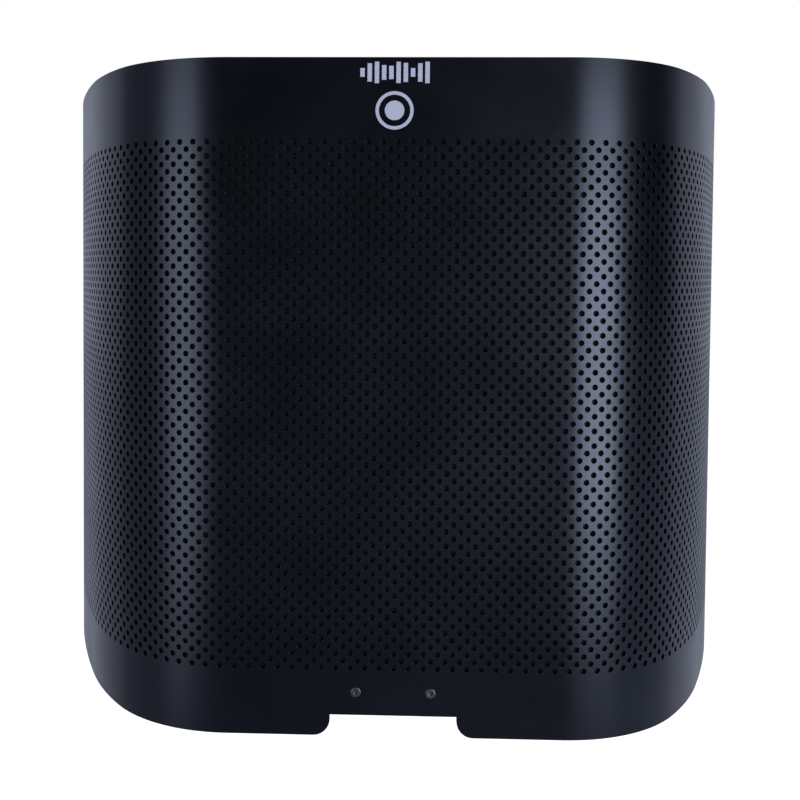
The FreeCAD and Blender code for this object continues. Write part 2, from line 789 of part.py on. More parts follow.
def make_stand_socket():
    """Flanged socket with the stand thread's bore, open downwards."""
    body = new_body("stand_socket")
    outer = d.socket_diameter / 2
    flange = d.socket_flange_diameter / 2
    bore = d.socket_thread_diameter / 2
    flange_bottom = d.socket_height - d.socket_flange_thickness
    revolve(body, "turned", [
        (bore, 0),
        (outer, 0),
        (outer, flange_bottom),
        (flange, flange_bottom),
        (flange, d.socket_height),
        (0, d.socket_height),
        (0, d.socket_thread_depth),
        (bore, d.socket_thread_depth),
    ])
    holes = new_sketch(body, "screw_holes", "XY_Plane", d.socket_height)
    for x, y in flange_screw_places(d.socket_bolt_circle, as_size(0)):
        add_circle(holes, x, y, d.flange_screw_diameter + d.shaft_gap * 2)
    pocket(body, "screw_holes_cut", holes, d.socket_flange_thickness)
    return finish(body)


def make_collar():
    """Flanged collar that guides the post, with a side hole for the thumb screw."""
    body = new_body("post_collar", 0, d.post_setback, BAR_TOP)
    bore = d.post_diameter / 2 + d.shaft_gap
    outer = d.collar_diameter / 2
    flange = d.collar_flange_diameter / 2
    revolve(body, "turned", [
        (bore, 0),
        (flange, 0),
        (flange, d.collar_flange_thickness),
        (outer, d.collar_flange_thickness),
        (outer, d.collar_height - d.edge_chamfer),
        (outer - d.edge_chamfer, d.collar_height),
        (bore, d.collar_height),
    ])
    holes = new_sketch(body, "screw_holes", "XY_Plane", d.collar_flange_thickness)
    for x, y in flange_screw_places(d.collar_bolt_circle, as_size(0)):
        add_circle(holes, x, y, d.flange_screw_diameter + d.shaft_gap * 2)
    pocket(body, "screw_holes_cut", holes, d.collar_flange_thickness)
    side_hole = new_sketch(body, "thumb_hole", "XZ_Plane")
    add_circle(side_hole, 0, THUMB_LEVEL - BAR_TOP, d.thumb_screw_diameter + d.shaft_gap * 2)
    pocket(body, "thumb_hole_cut", side_hole)
    return finish(body)


def make_flange_screws():
    """Cap screws down through the bar into the socket, and down through the collar into the bar."""
    screw = new_body("flange_screw")
    radius = d.flange_screw_diameter / 2
    head = d.flange_head_diameter / 2
    length = d.bar_thickness + d.socket_flange_thickness
    revolve(screw, "turned", [
        (0, -length),
        (radius, -length),
        (radius, 0),
        (head, 0),
        (head, d.flange_head_height),
        (0, d.flange_head_height),
    ])
    recess = new_sketch(screw, "recess", "XY_Plane", d.flange_head_height)
    add_hexagon(recess, d.flange_socket_width)
    pocket(screw, "hex_socket", recess, d.flange_socket_depth)
    doc.recompute()
    under = [(x, y, BAR_TOP) for x, y in flange_screw_places(d.socket_bolt_circle, as_size(0))]
    copies_node("socket_screws", screw, under)
    collar_face = BAR_TOP + d.collar_flange_thickness
    over = [(x, y, collar_face) for x, y in flange_screw_places(d.collar_bolt_circle, d.post_setback)]
    copies_node("collar_screws", screw, over)


def make_post():
    """Round post with a guide groove, a head and the microphone thread above a neck."""
    body = new_body("mic_post", 0, d.post_setback, 0)
    radius = d.post_diameter / 2
    head = d.post_head_diameter / 2
    neck = d.post_neck_diameter / 2
    thread = d.post_thread_diameter / 2
    revolve(body, "turned", [
        (0, POST_BOTTOM),
        (radius - d.post_chamfer, POST_BOTTOM),
        (radius, POST_BOTTOM + d.post_chamfer),
        (radius, POST_HEAD_BOTTOM),
        (head, POST_HEAD_BOTTOM),
        (head, POST_NECK_BOTTOM),
        (neck, POST_NECK_BOTTOM),
        (neck, POST_THREAD_BOTTOM),
        (thread, POST_THREAD_BOTTOM),
        (thread, POST_TOP - d.post_chamfer),
        (thread - d.post_chamfer, POST_TOP),
        (0, POST_TOP),
    ])
    groove = new_sketch(body, "guide_groove", "XZ_Plane", d.post_groove_depth - radius)
    reach = d.post_travel / 2
    width = d.thumb_screw_diameter + d.hole_gap * 2
    add_slot(groove, 0, THUMB_LEVEL - reach, THUMB_LEVEL + reach, width)
    pocket(body, "guide_groove_cut", groove)
    return finish(body)


def make_thumb_screw():
    """Steel screw that reaches into the post's groove, and its fluted moulded knob."""
    along_y = FreeCAD.Rotation(FreeCAD.Vector(1, 0, 0), -90)
    radius = d.thumb_screw_diameter / 2
    tip = d.post_setback + d.post_diameter / 2 - d.post_groove_depth + d.soft_gap
    knob_face = d.post_setback + d.collar_diameter / 2 + d.thumb_knob_gap
    screw = new_body("thumb_screw", 0, tip, THUMB_LEVEL, along_y)
    length = knob_face + d.thumb_screw_grip - tip
    revolve(screw, "turned", [
        (0, 0),
        (radius - d.edge_chamfer, 0),
        (radius, d.edge_chamfer),
        (radius, length),
        (0, length),
    ])
    finish(screw)

    knob = new_body("thumb_knob", 0, knob_face, THUMB_LEVEL, along_y)
    outer = d.thumb_knob_diameter / 2
    bore = radius + d.shaft_gap
    bore_end = d.thumb_screw_grip + d.running_gap
    revolve(knob, "turned", [
        (bore, 0),
        (outer, 0),
        (outer, d.thumb_knob_length - d.edge_chamfer),
        (outer - d.edge_chamfer, d.thumb_knob_length),
        (0, d.thumb_knob_length),
        (0, bore_end),
        (bore, bore_end),
    ])
    doc.recompute()
    flute = new_sketch(knob, "flute_outline", "XY_Plane", d.thumb_knob_length)
    add_circle(flute, outer + d.thumb_flute_offset, 0, d.thumb_flute_diameter)
    cut = pocket(knob, "flute", flute, d.thumb_knob_length)
    repeat_round(knob, "flutes", cut, d.thumb_knob_flutes)
    finish(knob)


def make_lock_ring():
    """Fluted ring that runs on the microphone thread and locks what is screwed onto it."""
    body = new_body("mic_lock_ring", 0, d.post_setback, POST_NECK_BOTTOM + d.running_gap)
    outer = d.lock_ring_diameter / 2
    bore = d.post_thread_diameter / 2 + d.shaft_gap
    revolve(body, "turned", [
        (bore, 0),
        (outer, 0),
        (outer, d.lock_ring_height),
        (bore, d.lock_ring_height),
    ])
    doc.recompute()
    flute = new_sketch(body, "flute_outline", "XY_Plane", d.lock_ring_height)
    add_circle(flute, outer + d.lock_flute_offset, 0, d.lock_flute_diameter)
    cut = pocket(body, "flute", flute, d.lock_ring_height)
    repeat_round(body, "flutes", cut, d.lock_ring_flutes)
    return finish(body)


# ---------------------------------------------------------------- build, check and write

def check_document():
    """Stop if any feature failed or any node is empty or invalid."""
    doc.recompute()
    for item in doc.Objects:
        bad = {"Invalid", "Error"} & set(item.State)
        if bad:
            raise RuntimeError(f"{item.Label}: {sorted(bad)}")
    for name, item in nodes.items():
        shape = item.Shape
        if shape.isNull() or not shape.isValid() or not shape.Solids:
            raise RuntimeError(f"{name}: bad shape")


def write_nodes():
    """Write one STEP file for each node."""
    os.makedirs("parts", exist_ok=True)
    for name, item in nodes.items():
        item.Shape.exportStep(os.path.join("parts", name + ".step"))
        print(f"{name}: {len(item.Shape.Solids)} solid(s), {item.Shape.Volume / 1000:.2f} cm3")


make_shell()
make_foam()
make_bracket()
make_bracket_fasteners()
make_bar()
make_clamp_bolts()
make_washers()
make_knob("left", -1)
make_knob("right", 1)
make_stand_socket()
make_collar()
make_flange_screws()
make_post()
make_thumb_screw()
make_lock_ring()
check_document()
write_nodes()
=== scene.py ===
import json
import math

import bmesh
import bpy
import numpy as np
from mathutils import Matrix, Vector


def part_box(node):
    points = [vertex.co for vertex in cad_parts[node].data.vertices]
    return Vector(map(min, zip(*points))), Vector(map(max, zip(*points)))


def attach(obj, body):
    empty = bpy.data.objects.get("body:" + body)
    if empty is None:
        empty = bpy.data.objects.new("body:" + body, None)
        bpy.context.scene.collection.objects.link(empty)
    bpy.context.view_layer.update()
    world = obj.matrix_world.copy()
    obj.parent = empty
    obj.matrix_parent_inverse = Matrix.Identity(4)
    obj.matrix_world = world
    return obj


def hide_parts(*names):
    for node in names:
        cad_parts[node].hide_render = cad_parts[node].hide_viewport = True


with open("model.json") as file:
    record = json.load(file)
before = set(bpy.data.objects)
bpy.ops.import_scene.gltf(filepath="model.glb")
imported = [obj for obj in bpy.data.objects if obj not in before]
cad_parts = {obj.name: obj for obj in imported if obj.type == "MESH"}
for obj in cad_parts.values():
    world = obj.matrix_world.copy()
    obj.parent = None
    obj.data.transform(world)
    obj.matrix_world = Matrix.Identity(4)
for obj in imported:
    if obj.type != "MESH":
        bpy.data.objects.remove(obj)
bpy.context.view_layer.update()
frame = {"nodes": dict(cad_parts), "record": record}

# Microphone isolation shield: shapes and looks over the CAD solids, in metres and in their frame.
# +X is right seen from behind the closed back, +Y runs towards the open side, +Z is up.

MM = 0.001
QUARTER_TURN = [math.radians(step) for step in range(0, 91, 10)]


def ends(node):
    """Lowest and highest corner of a node's box."""
    return [Vector(corner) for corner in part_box(node)]


# -------- sizes of the sheet and the foam

PANEL_WIDTH = 161.4 * MM
BENDS = ((77.0 * MM, 51.1), (184.0 * MM, 14.4), (588.0 * MM, 40.0))
SHEET_LENGTH = 600.0 * MM
SHEET_THICKNESS = 1.5 * MM
CORNER_RADIUS = 12.0 * MM

SHELL_LOW, SHELL_HIGH = ends("shell")
SHELL_BACK = SHELL_LOW.y
SHELL_BOTTOM = SHELL_LOW.z
SHELL_TOP = SHELL_HIGH.z
SHEET_HEIGHT = SHELL_TOP - SHELL_BOTTOM

# perforation: a staggered field of round holes on a half pitch
HALF_PITCH = 3.5 * MM
HOLE_RADIUS = 1.35 * MM
HOLE_RIM = 0.16 * MM
BACK_HOLE_SIDES = 16
WING_HOLE_SIDES = 12
HOLE_ROWS = 73
FIRST_ROW = 33.3 * MM
FIELD_LOW = FIRST_ROW - HALF_PITCH / 2
FIELD_HIGH = FIELD_LOW + HOLE_ROWS * HALF_PITCH
LAST_COLUMN = 82
SPLIT_COLUMN = 23

NOTCH_HALF = 30.5 * MM
NOTCH_HEIGHT = 10.2 * MM
NOTCH_LIP = 8.0 * MM

SCREW_OFFSET = 18.0 * MM
SCREW_LEVEL = 21.2 * MM
SCREW_HEAD_RADIUS = 2.4 * MM
SCREW_HOLE_SIDES = 32
SCREW_ROOM = 4.5 * MM

FOAM_THICKNESS = 50.0 * MM
FOAM_BASE = 24.0 * MM
FOAM_WAVE = 0.5 * MM
FOAM_RIDGES = 6
FOAM_GAP = 0.3 * MM
FOAM_END = 8.0 * MM
FOAM_CENTRE = 200.0 * MM
FOAM_EDGE = 2.0 * MM


def point_at(along, depth):
    """Plan point at a length along the outer face from its middle, at a depth into the shell."""
    side = 1.0 if along >= 0 else -1.0
    left = abs(along)
    step = min(left, PANEL_WIDTH / 2)
    x, y, heading = step, SHELL_BACK, 0.0
    left -= step
    for radius, degrees in BENDS:
        if left <= 0:
            break
        step = min(left, radius * math.radians(degrees))
        turned = heading + step / radius
        x += radius * (math.sin(turned) - math.sin(heading))
        y += radius * (math.cos(heading) - math.cos(turned))
        heading = turned
        left -= step
    return side * (x - depth * math.sin(heading)), y + depth * math.cos(heading)


def heading_at(along):
    """Direction of the sheet's outer face, in radians from +X, at a length along it."""
    left = abs(along) - PANEL_WIDTH / 2
    heading = 0.0
    for radius, degrees in BENDS:
        if left <= 0:
            break
        step = min(left, radius * math.radians(degrees))
        heading += step / radius
        left -= step
    return heading if along >= 0 else -heading


# -------- mesh helpers

def placed(name, data):
    """A new object in the scene with this data."""
    thing = bpy.data.objects.new(name, data)
    bpy.context.collection.objects.link(thing)
    return thing


def new_piece(name, vertices, faces, material, body, replaces=()):
    """A mesh piece that rides on a body and may stand for CAD nodes."""
    mesh = bpy.data.meshes.new(name)
    mesh.from_pydata(vertices, [], faces)
    mesh.validate()
    mesh.update()
    piece = placed(name, mesh)
    mesh.materials.append(material)
    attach(piece, body)
    if replaces:
        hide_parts(*replaces)
    return piece


class SheetPlan:
    """Faces of the developed sheet, as polygons of shared points (along, height)."""

    def __init__(self):
        self.points = []
        self.index = {}
        self.faces = []
        self.rims = {}

    def point(self, along, height):
        """Number of the point at this place, which faces side by side share."""
        key = (round(along * 1e7), round(height * 1e7))
        if key not in self.index:
            self.index[key] = len(self.points)
            self.points.append((along, height))
        return self.index[key]

    def patch(self, corners):
        """A patch with these corners, anticlockwise as seen from outside."""
        self.faces.append([self.point(*corner) for corner in corners])

    def plain(self, left, right, low_left, low_right, high_left, high_right):
        """A four-sided patch between two upright lines."""
        self.patch([(left, low_left), (right, low_right), (right, high_right), (left, high_left)])

    def pierced(self, left, right, low, high, centre, radius, sides, breaks=()):
        """A rectangle with a round hole, as four faces that meet at the rectangle's corners.

        Its upper and lower edges are broken where upright lines of their neighbours end.
        """
        corners = [(right, high), (left, high), (left, low), (right, low)]
        middle, level = centre
        wide = radius + HOLE_RIM
        quarter = sides // 4
        ring = []
        for turn in range(sides):
            angle = 2 * math.pi * (turn + quarter / 2) / sides
            across, up = math.cos(angle), math.sin(angle)
            spot = self.point(middle + wide * across, level + wide * up)
            self.rims[spot] = (middle + radius * across, level + radius * up, -across, -up)
            ring.append(spot)
        for side, start in enumerate(corners):
            marks = sorted(breaks, reverse=side == 0) if side % 2 == 0 else []
            edge = [start] + [(mark, start[1]) for mark in marks] + [corners[(side + 1) % 4]]
            rim = [ring[(side * quarter + step) % sides] for step in range(quarter + 1)]
            self.faces.append([self.point(*spot) for spot in edge] + rim[::-1])


def lower_edge(along):
    """Height of the sheet's lower edge: notch, its rounded lips, and the free rounded corners."""
    offset = abs(along)
    if offset < NOTCH_HALF - 1e-9:
        return NOTCH_HEIGHT
    lip = NOTCH_HALF + NOTCH_LIP - offset
    if lip > 0:
        return NOTCH_LIP - math.sqrt(NOTCH_LIP ** 2 - lip ** 2)
    return corner_cut(along)


def corner_cut(along):
    """How much the free corner's rounding takes off the height at this length."""
    into = abs(along) - (SHEET_LENGTH / 2 - CORNER_RADIUS)
    if into <= 0:
        return 0.0
    return CORNER_RADIUS - math.sqrt(max(CORNER_RADIUS ** 2 - into ** 2, 0.0))


def lower_rim(left, right):
    """Corners of the sheet's lower edge between two lengths, with the notch's walls and lips."""
    steps = [NOTCH_HALF + NOTCH_LIP * (1 - math.cos(turn)) for turn in QUARTER_TURN]
    rim = [(left, lower_edge(left))]
    for mark in sorted(side * step for step in steps for side in (-1, 1)):
        if left < mark < right:
            heights = [lower_edge(mark)]
            if abs(mark) == NOTCH_HALF:
                heights.insert(0 if mark > 0 else 1, NOTCH_HEIGHT)
            rim += [(mark, height) for height in heights]
    return rim + [(right, lower_edge(right))]


def sheet_lines(first, last):
    """Upright lines of the sheet from one column's left edge to another's right edge."""
    return [(column - 0.5) * HALF_PITCH for column in range(first, last + 2)]


def add_holes(plan, first, last, sides):
    """The perforated field between two columns, every other cell pierced."""
    for column in range(first, last + 1):
        left = (column - 0.5) * HALF_PITCH
        right = (column + 0.5) * HALF_PITCH
        for row in range(HOLE_ROWS):
            centre = FIRST_ROW + row * HALF_PITCH
            low = centre - HALF_PITCH / 2
            high = centre + HALF_PITCH / 2
            if (column + row) % 2 == 0:
                plan.pierced(left, right, low, high, (column * HALF_PITCH, centre), HOLE_RADIUS, sides)
            else:
                plan.plain(left, right, low, low, high, high)


def add_margins(plan, lines, screws):
    """Plain strips above and below the field between upright lines, with cells for the screws."""
    screw_low, screw_high = SCREW_LEVEL - SCREW_ROOM, SCREW_LEVEL + SCREW_ROOM
    middles = [round(screw / HALF_PITCH) for screw in screws]
    cells = [[(middle + reach) * HALF_PITCH for reach in (-1.5, -0.5, 0.5, 1.5)] for middle in middles]

    def cell_levels(line):
        """Heights at which a screw's cell starts and ends beside this line."""
        beside = any(abs(line - end) < 0.01 * MM for cell in cells for end in (cell[0], cell[-1]))
        return [screw_low, screw_high] if beside else []

    for left, right in zip(lines, lines[1:]):
        top_left, top_right = SHEET_HEIGHT - corner_cut(left), SHEET_HEIGHT - corner_cut(right)
        plan.plain(left, right, FIELD_HIGH, FIELD_HIGH, top_left, top_right)
        rim = lower_rim(left, right)
        if any(cell[0] < (left + right) / 2 < cell[-1] for cell in cells):
            plan.patch(rim + [(right, screw_low), (left, screw_low)])
            plan.plain(left, right, screw_high, screw_high, FIELD_LOW, FIELD_LOW)
        else:
            up = [(right, level) for level in cell_levels(right)]
            down = [(left, level) for level in cell_levels(left)[::-1]]
            plan.patch(rim + up + [(right, FIELD_LOW), (left, FIELD_LOW)] + down)
    for screw, cell in zip(screws, cells):
        plan.pierced(cell[0], cell[-1], screw_low, screw_high, (screw, SCREW_LEVEL),
                     SCREW_HEAD_RADIUS, SCREW_HOLE_SIDES, cell[1:-1])


def add_end(plan, side):
    """The plain end of the sheet beyond the last column, with its rounded corners."""
    start = (LAST_COLUMN + 0.5) * HALF_PITCH
    curve = SHEET_LENGTH / 2 - CORNER_RADIUS
    marks = [start] + [curve + CORNER_RADIUS * math.sin(turn) for turn in QUARTER_TURN[1:]]
    rows = [FIELD_LOW + row * HALF_PITCH for row in range(1, HOLE_ROWS)]
    for near, far in zip(marks, marks[1:]):
        left, right = (near, far) if side > 0 else (-far, -near)
        cut_left, cut_right = corner_cut(left), corner_cut(right)
        plan.plain(left, right, cut_left, cut_right, FIELD_LOW, FIELD_LOW)
        up = [(right, row) for row in rows] if right == -start else []
        down = [(left, row) for row in rows[::-1]] if left == start else []
        plan.patch([(left, FIELD_LOW), (right, FIELD_LOW)] + up
                   + [(right, FIELD_HIGH), (left, FIELD_HIGH)] + down)
        plan.plain(left, right, FIELD_HIGH, FIELD_HIGH, SHEET_HEIGHT - cut_left, SHEET_HEIGHT - cut_right)


def sheet_piece(name, plan, seams, material, replaces=()):
    """Bend the developed faces into a sheet of even thickness, with walls at every free edge.

    Each hole's edge on the outer face is eased: a rim ring runs from the face into the hole.
    """
    flat = np.array(plan.points)
    count = len(flat)
    rims = sorted(plan.rims)
    eased_at = {spot: 2 * count + place for place, spot in enumerate(rims)}
    narrow = flat.copy()
    for spot in rims:
        narrow[spot] = plan.rims[spot][:2]

    def bent(places, depth):
        return [(*point_at(along, depth), SHELL_BOTTOM + height) for along, height in places]

    vertices = bent(flat, 0.0) + bent(narrow, SHEET_THICKNESS) + bent(narrow[rims], HOLE_RIM)
    faces = plan.faces + [[index + count for index in reversed(face)] for face in plan.faces]
    used = dict.fromkeys(edge for face in plan.faces for edge in zip(face, face[1:] + face[:1]))
    rim_faces, hole_walls, edge_walls = [], [], []
    for start, end in used:
        if (end, start) in used:
            continue
        if start in eased_at and end in eased_at:
            rim_faces.append([start, eased_at[start], eased_at[end], end])
            hole_walls.append([eased_at[start], start + count, end + count, eased_at[end]])
        elif not any(abs(flat[[start, end], 0] - seam).max() < 1e-7 for seam in seams):
            edge_walls.append([start, start + count, end + count, end])
    faces += rim_faces + hole_walls + edge_walls

    piece = new_piece(name, vertices, faces, material, "shield", replaces)
    marks = np.cumsum([len(plan.faces), len(plan.faces), len(rim_faces), len(hole_walls)])
    dress_sheet(piece, plan, narrow, rims, marks)


def dress_sheet(piece, plan, narrow, rims, marks):
    """Exact normals of the bent faces, rims and hole walls, and a map that unrolls the sheet."""
    mesh = piece.data
    flat = np.array(plan.points)
    count = len(flat)
    mesh.polygons.foreach_set("use_smooth", np.ones(len(mesh.polygons), bool))
    mesh.update()
    flat_normals = np.empty(len(mesh.polygons) * 3)
    mesh.polygons.foreach_get("normal", flat_normals)
    totals = np.empty(len(mesh.polygons), int)
    mesh.polygons.foreach_get("loop_total", totals)
    corners = np.empty(len(mesh.loops), int)
    mesh.loops.foreach_get("vertex_index", corners)
    owner = np.repeat(np.arange(len(totals)), totals)

    spots = np.concatenate([np.arange(count), np.arange(count), np.array(rims, int)])
    where = spots[corners]
    headings = np.array([heading_at(along) for along, _ in flat])
    bent = np.stack([np.sin(headings), -np.cos(headings), np.zeros(count)], axis=1)
    towards_axis = np.zeros((count, 3))
    for spot in rims:
        _, _, across, up = plan.rims[spot]
        towards_axis[spot] = (across * math.cos(headings[spot]), across * math.sin(headings[spot]), up)

    # parts of the sheet, in the order of its faces: 0 outside, 1 inside, 2 rims, 3 hole walls, 4 edges
    part = np.searchsorted(marks, owner, side="right")
    in_hole = (part == 3) | ((part == 2) & (corners >= 2 * count))
    normals = flat_normals.reshape(-1, 3)[owner]
    facings = (part == 0, bent), (part == 1, -bent), (part == 2, bent), (in_hole, towards_axis)
    for chosen, facing in facings:
        normals[chosen] = facing[where[chosen]]
    mesh.normals_split_custom_set(normals.tolist())

    unrolled = mesh.uv_layers.new(name="OFBake")
    span = 2 * max(abs(flat[:, 0].min()), abs(flat[:, 0].max()), SHEET_HEIGHT / 2)
    on_inside = (corners >= count) & (corners < 2 * count)
    places = np.where((corners >= count)[:, None], narrow[where], flat[where])
    along = (places[:, 0] - flat[:, 0].min()) / span * 0.5 + np.where(on_inside, 0.5, 0.0)
    spread_out = np.stack([along, places[:, 1] / span], axis=1).astype(np.float32)
    unrolled.data.foreach_set("uv", spread_out.ravel())


def make_shell(coat):
    """Three stretches of perforated sheet that meet edge to edge."""
    seam = (SPLIT_COLUMN + 0.5) * HALF_PITCH

    centre = SheetPlan()
    add_holes(centre, -SPLIT_COLUMN, SPLIT_COLUMN, BACK_HOLE_SIDES)
    add_margins(centre, sheet_lines(-SPLIT_COLUMN, SPLIT_COLUMN), (-SCREW_OFFSET, SCREW_OFFSET))
    sheet_piece("shell_back", centre, (-seam, seam), coat, ("shell",))

    for side, name in ((-1, "shell_left_wing"), (1, "shell_right_wing")):
        wing = SheetPlan()
        first, last = SPLIT_COLUMN + 1, LAST_COLUMN
        if side < 0:
            first, last = -last, -first
        add_holes(wing, first, last, WING_HOLE_SIDES)
        add_margins(wing, sheet_lines(first, last), ())
        add_end(wing, side)
        sheet_piece(name, wing, (side * seam,), coat, ("shell",))


# -------- foam

def ridge_depth(share):
    """Rise of the foam's front, 0 to 1, at a share of a ridge from valley to valley."""
    crest_share = 0.15
    rise = 1 - abs(2 * share - 1)
    flank = min(rise / (1 - crest_share), 1.0)
    soft = flank * flank * (3 - 2 * flank)
    return 0.75 * flank + 0.25 * soft


def foam_piece(name, start, end, materials):
    """Foam panel with upright ridges, following the shell between two lengths along it."""
    back = SHEET_THICKNESS + FOAM_GAP
    per_ridge, rows, layers = 18, 90, 4
    columns = FOAM_RIDGES * per_ridge
    bottom = SHELL_BOTTOM + FOAM_EDGE
    top = SHELL_TOP - FOAM_EDGE

    def spot(column, layer, row):
        share = (column % per_ridge) / per_ridge
        along = start + (end - start) * column / columns
        front = back + FOAM_BASE + (FOAM_THICKNESS - FOAM_BASE) * ridge_depth(share)
        phase = 0.21 * row + 1.3 * start / FOAM_CENTRE + 0.9 * (column // per_ridge)
        front -= FOAM_WAVE * (1 + math.sin(phase))
        depth = back + (front - back) * layer / layers
        return (*point_at(along, depth), bottom + (top - bottom) * row / rows)

    index, vertices, faces, on_back = {}, [], [], set()

    def corner(column, layer, row):
        key = (column, layer, row)
        if key not in index:
            index[key] = len(vertices)
            vertices.append(spot(*key))
            if layer == 0:
                on_back.add(index[key])
        return index[key]

    def cover(first_count, second_count, ends_and_orders, key):
        """Faces over two ways of the panel, at both ends of the third."""
        for a in range(first_count):
            for b in range(second_count):
                for end, order in ends_and_orders:
                    loop = [(a, b), (a + 1, b), (a + 1, b + 1), (a, b + 1)][::order]
                    faces.append([corner(*key(c, d, end)) for c, d in loop])

    cover(columns, rows, ((0, 1), (layers, -1)), lambda column, row, layer: (column, layer, row))
    cover(columns, layers, ((0, -1), (rows, 1)), lambda column, layer, row: (column, layer, row))
    cover(layers, rows, ((0, 1), (columns, -1)), lambda layer, row, column: (column, layer, row))
    piece = new_piece(name, vertices, faces, materials["foam"], "shield")
    # The foam's back, against the shell, takes a darker copy of the foam: painted shade for what is seen
    # through the holes.
    piece.data.materials.append(materials["foam_back"])
    painted_shade_faces = [1 if on_back.issuperset(face) else 0 for face in faces]
    piece.data.polygons.foreach_set("material_index", np.array(painted_shade_faces))
    return piece


def make_foam(materials):
    """Three panels along the shell, the middle one cut out for the bar and the bracket."""
    middle = FOAM_CENTRE / 2
    end = SHEET_LENGTH / 2 - FOAM_END
    left = foam_piece("foam_left_panel", -end, -middle - FOAM_GAP, materials)
    right = foam_piece("foam_right_panel", middle + FOAM_GAP, end, materials)
    centre = foam_piece("foam_centre_panel", -middle, middle, materials)
    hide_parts("foam_left")
    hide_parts("foam_right")
    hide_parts("foam_centre")
    relieve_foam(centre)
    for piece in (left, centre, right):
        crease(piece, 50)


def relieve_foam(piece):
    """Cut the passage over the bar and the niche for the bracket out of the middle panel."""
    low, high = ends("shell_bracket")
    beside, over = 11 * MM, 1.5 * MM
    floor = SHELL_BOTTOM - 10 * MM
    before_foam, passage_top = 50 * MM, low.z + 4.5 * MM
    niche_front = ends("bracket_nuts")[1].y + 1.3 * MM
    carve(piece, *block(low.x - beside, SHELL_BACK, floor, high.x + beside, before_foam, passage_top))
    carve(piece, *block(low.x - over, SHELL_BACK, floor, high.x + over, niche_front, high.z + over))


def block(left, back, bottom, right, front, top):
    """Corners and faces of a cutter between two opposite corners."""
    outline = ((left, back), (right, back), (right, front), (left, front))
    corners = [(x, y, z) for z in (bottom, top) for x, y in outline]
    faces = [(3, 2, 1, 0), (4, 5, 6, 7), (0, 1, 5, 4), (1, 2, 6, 5), (2, 3, 7, 6), (3, 0, 4, 7)]
    return corners, faces


def carve(piece, corners, faces):
    """Cut a closed shape out of a piece."""
    mesh = bpy.data.meshes.new("cutter")
    mesh.from_pydata(corners, [], faces)
    cutter = placed("cutter", mesh)
    cut = piece.modifiers.new("carve", "BOOLEAN")
    cut.operation = "DIFFERENCE"
    cut.solver = "EXACT"
    cut.object = cutter
    bpy.context.view_layer.update()
    evaluated = piece.evaluated_get(bpy.context.evaluated_depsgraph_get())
    carved = bpy.data.meshes.new_from_object(evaluated)
    piece.modifiers.clear()
    piece.data = carved
    bpy.data.objects.remove(cutter)
    bpy.data.meshes.remove(mesh)


def crease(piece, degrees):
    """Keep edges sharper than this angle crisp."""
    mesh = piece.data
    shape = bmesh.new()
    shape.from_mesh(mesh)
    limit = math.radians(degrees)
    for edge in shape.edges:
        edge.smooth = len(edge.link_faces) != 2 or edge.calc_face_angle(0.0) < limit
    shape.to_mesh(mesh)
    shape.free()
    mesh.polygons.foreach_set("use_smooth", np.ones(len(mesh.polygons), bool))


# -------- turned and moulded hardware

THREAD_PITCH = 0.94 * MM
LOCK_RING_REACH = 15.0 * MM


def eased(outline, radius, closed=False):
    """Round the corners of an outline of (reach, height) pairs; the ends of an open one stay."""
    count = len(outline)
    soft = []
    for index, corner in enumerate(outline):
        if not closed and index in (0, count - 1):
            soft.append(corner)
            continue
        here = Vector(corner)
        before = Vector(outline[index - 1]) - here
        after = Vector(outline[(index + 1) % count]) - here
        reach = min(radius, 0.4 * before.length, 0.4 * after.length)
        start, end = here + before.normalized() * reach, here + after.normalized() * reach
        for share in (0.0, 0.3, 0.7, 1.0):
            spot = start * (1 - share) ** 2 + here * (2 * share * (1 - share)) + end * share ** 2
            soft.append((spot.x, spot.y))
    return soft


def turned_shape(outline, closed, sides):
    """Vertices and faces of an outline turned about Z; a reach may be a function of the angle."""
    vertices, faces, rings = [], [], []
    for reach, height in outline:
        steps = sides if callable(reach) or reach > 0 else 1
        rings.append((len(vertices), steps))
        for step in range(steps):
            angle = 2 * math.pi * step / sides
            here = reach(angle) if callable(reach) else reach
            vertices.append((here * math.cos(angle), here * math.sin(angle), height))
    pairs = list(zip(rings, rings[1:]))
    if closed:
        pairs.append((rings[-1], rings[0]))
    for (low, low_steps), (high, high_steps) in pairs:
        for step in range(sides):
            after = (step + 1) % sides
            loop = [low + step % low_steps, low + after % low_steps,
                    high + after % high_steps, high + step % high_steps]
            face = [index for place, index in enumerate(loop) if index not in loop[:place]]
            if len(face) > 2:
                faces.append(face)
    return vertices, faces


def turned_piece(name, outline, places, material, body, closed=False, sides=64, along="Z", sharp=32):
    """Copies of one turned form, standing along Z or lying along Y, as a piece for the node."""
    form, sheet = turned_shape(outline, closed, sides)
    vertices, faces = [], []
    for place in places:
        base = len(vertices)
        for x, y, z in form:
            spot = Vector((x, y, z)) if along == "Z" else Vector((x, z, -y))
            vertices.append(tuple(spot + Vector(place)))
        faces += [[index + base for index in face] for face in sheet]
    piece = new_piece(name + "_turned", vertices, faces, material, body, (name,))
    crease(piece, sharp)
    return piece


def thread(low, high, crest, depth, pitch):
    """Rings of a screw thread between two heights; crest is its widest reach, on a rod or in a bore."""
    count = round(abs(high - low) / (pitch / 8))
    rings = []
    for step in range(count + 1):
        height = low + (high - low) * step / count
        fade = min(1.0, abs(height - low) / pitch, abs(height - high) / pitch)

        def reach(angle, height=height, fade=fade):
            turn = (height / pitch - angle / (2 * math.pi)) % 1.0
            return crest - depth * fade * min(1.0, max(0.0, 2.4 * abs(turn - 0.5) - 0.1))
        rings.append((reach, height))
    return rings


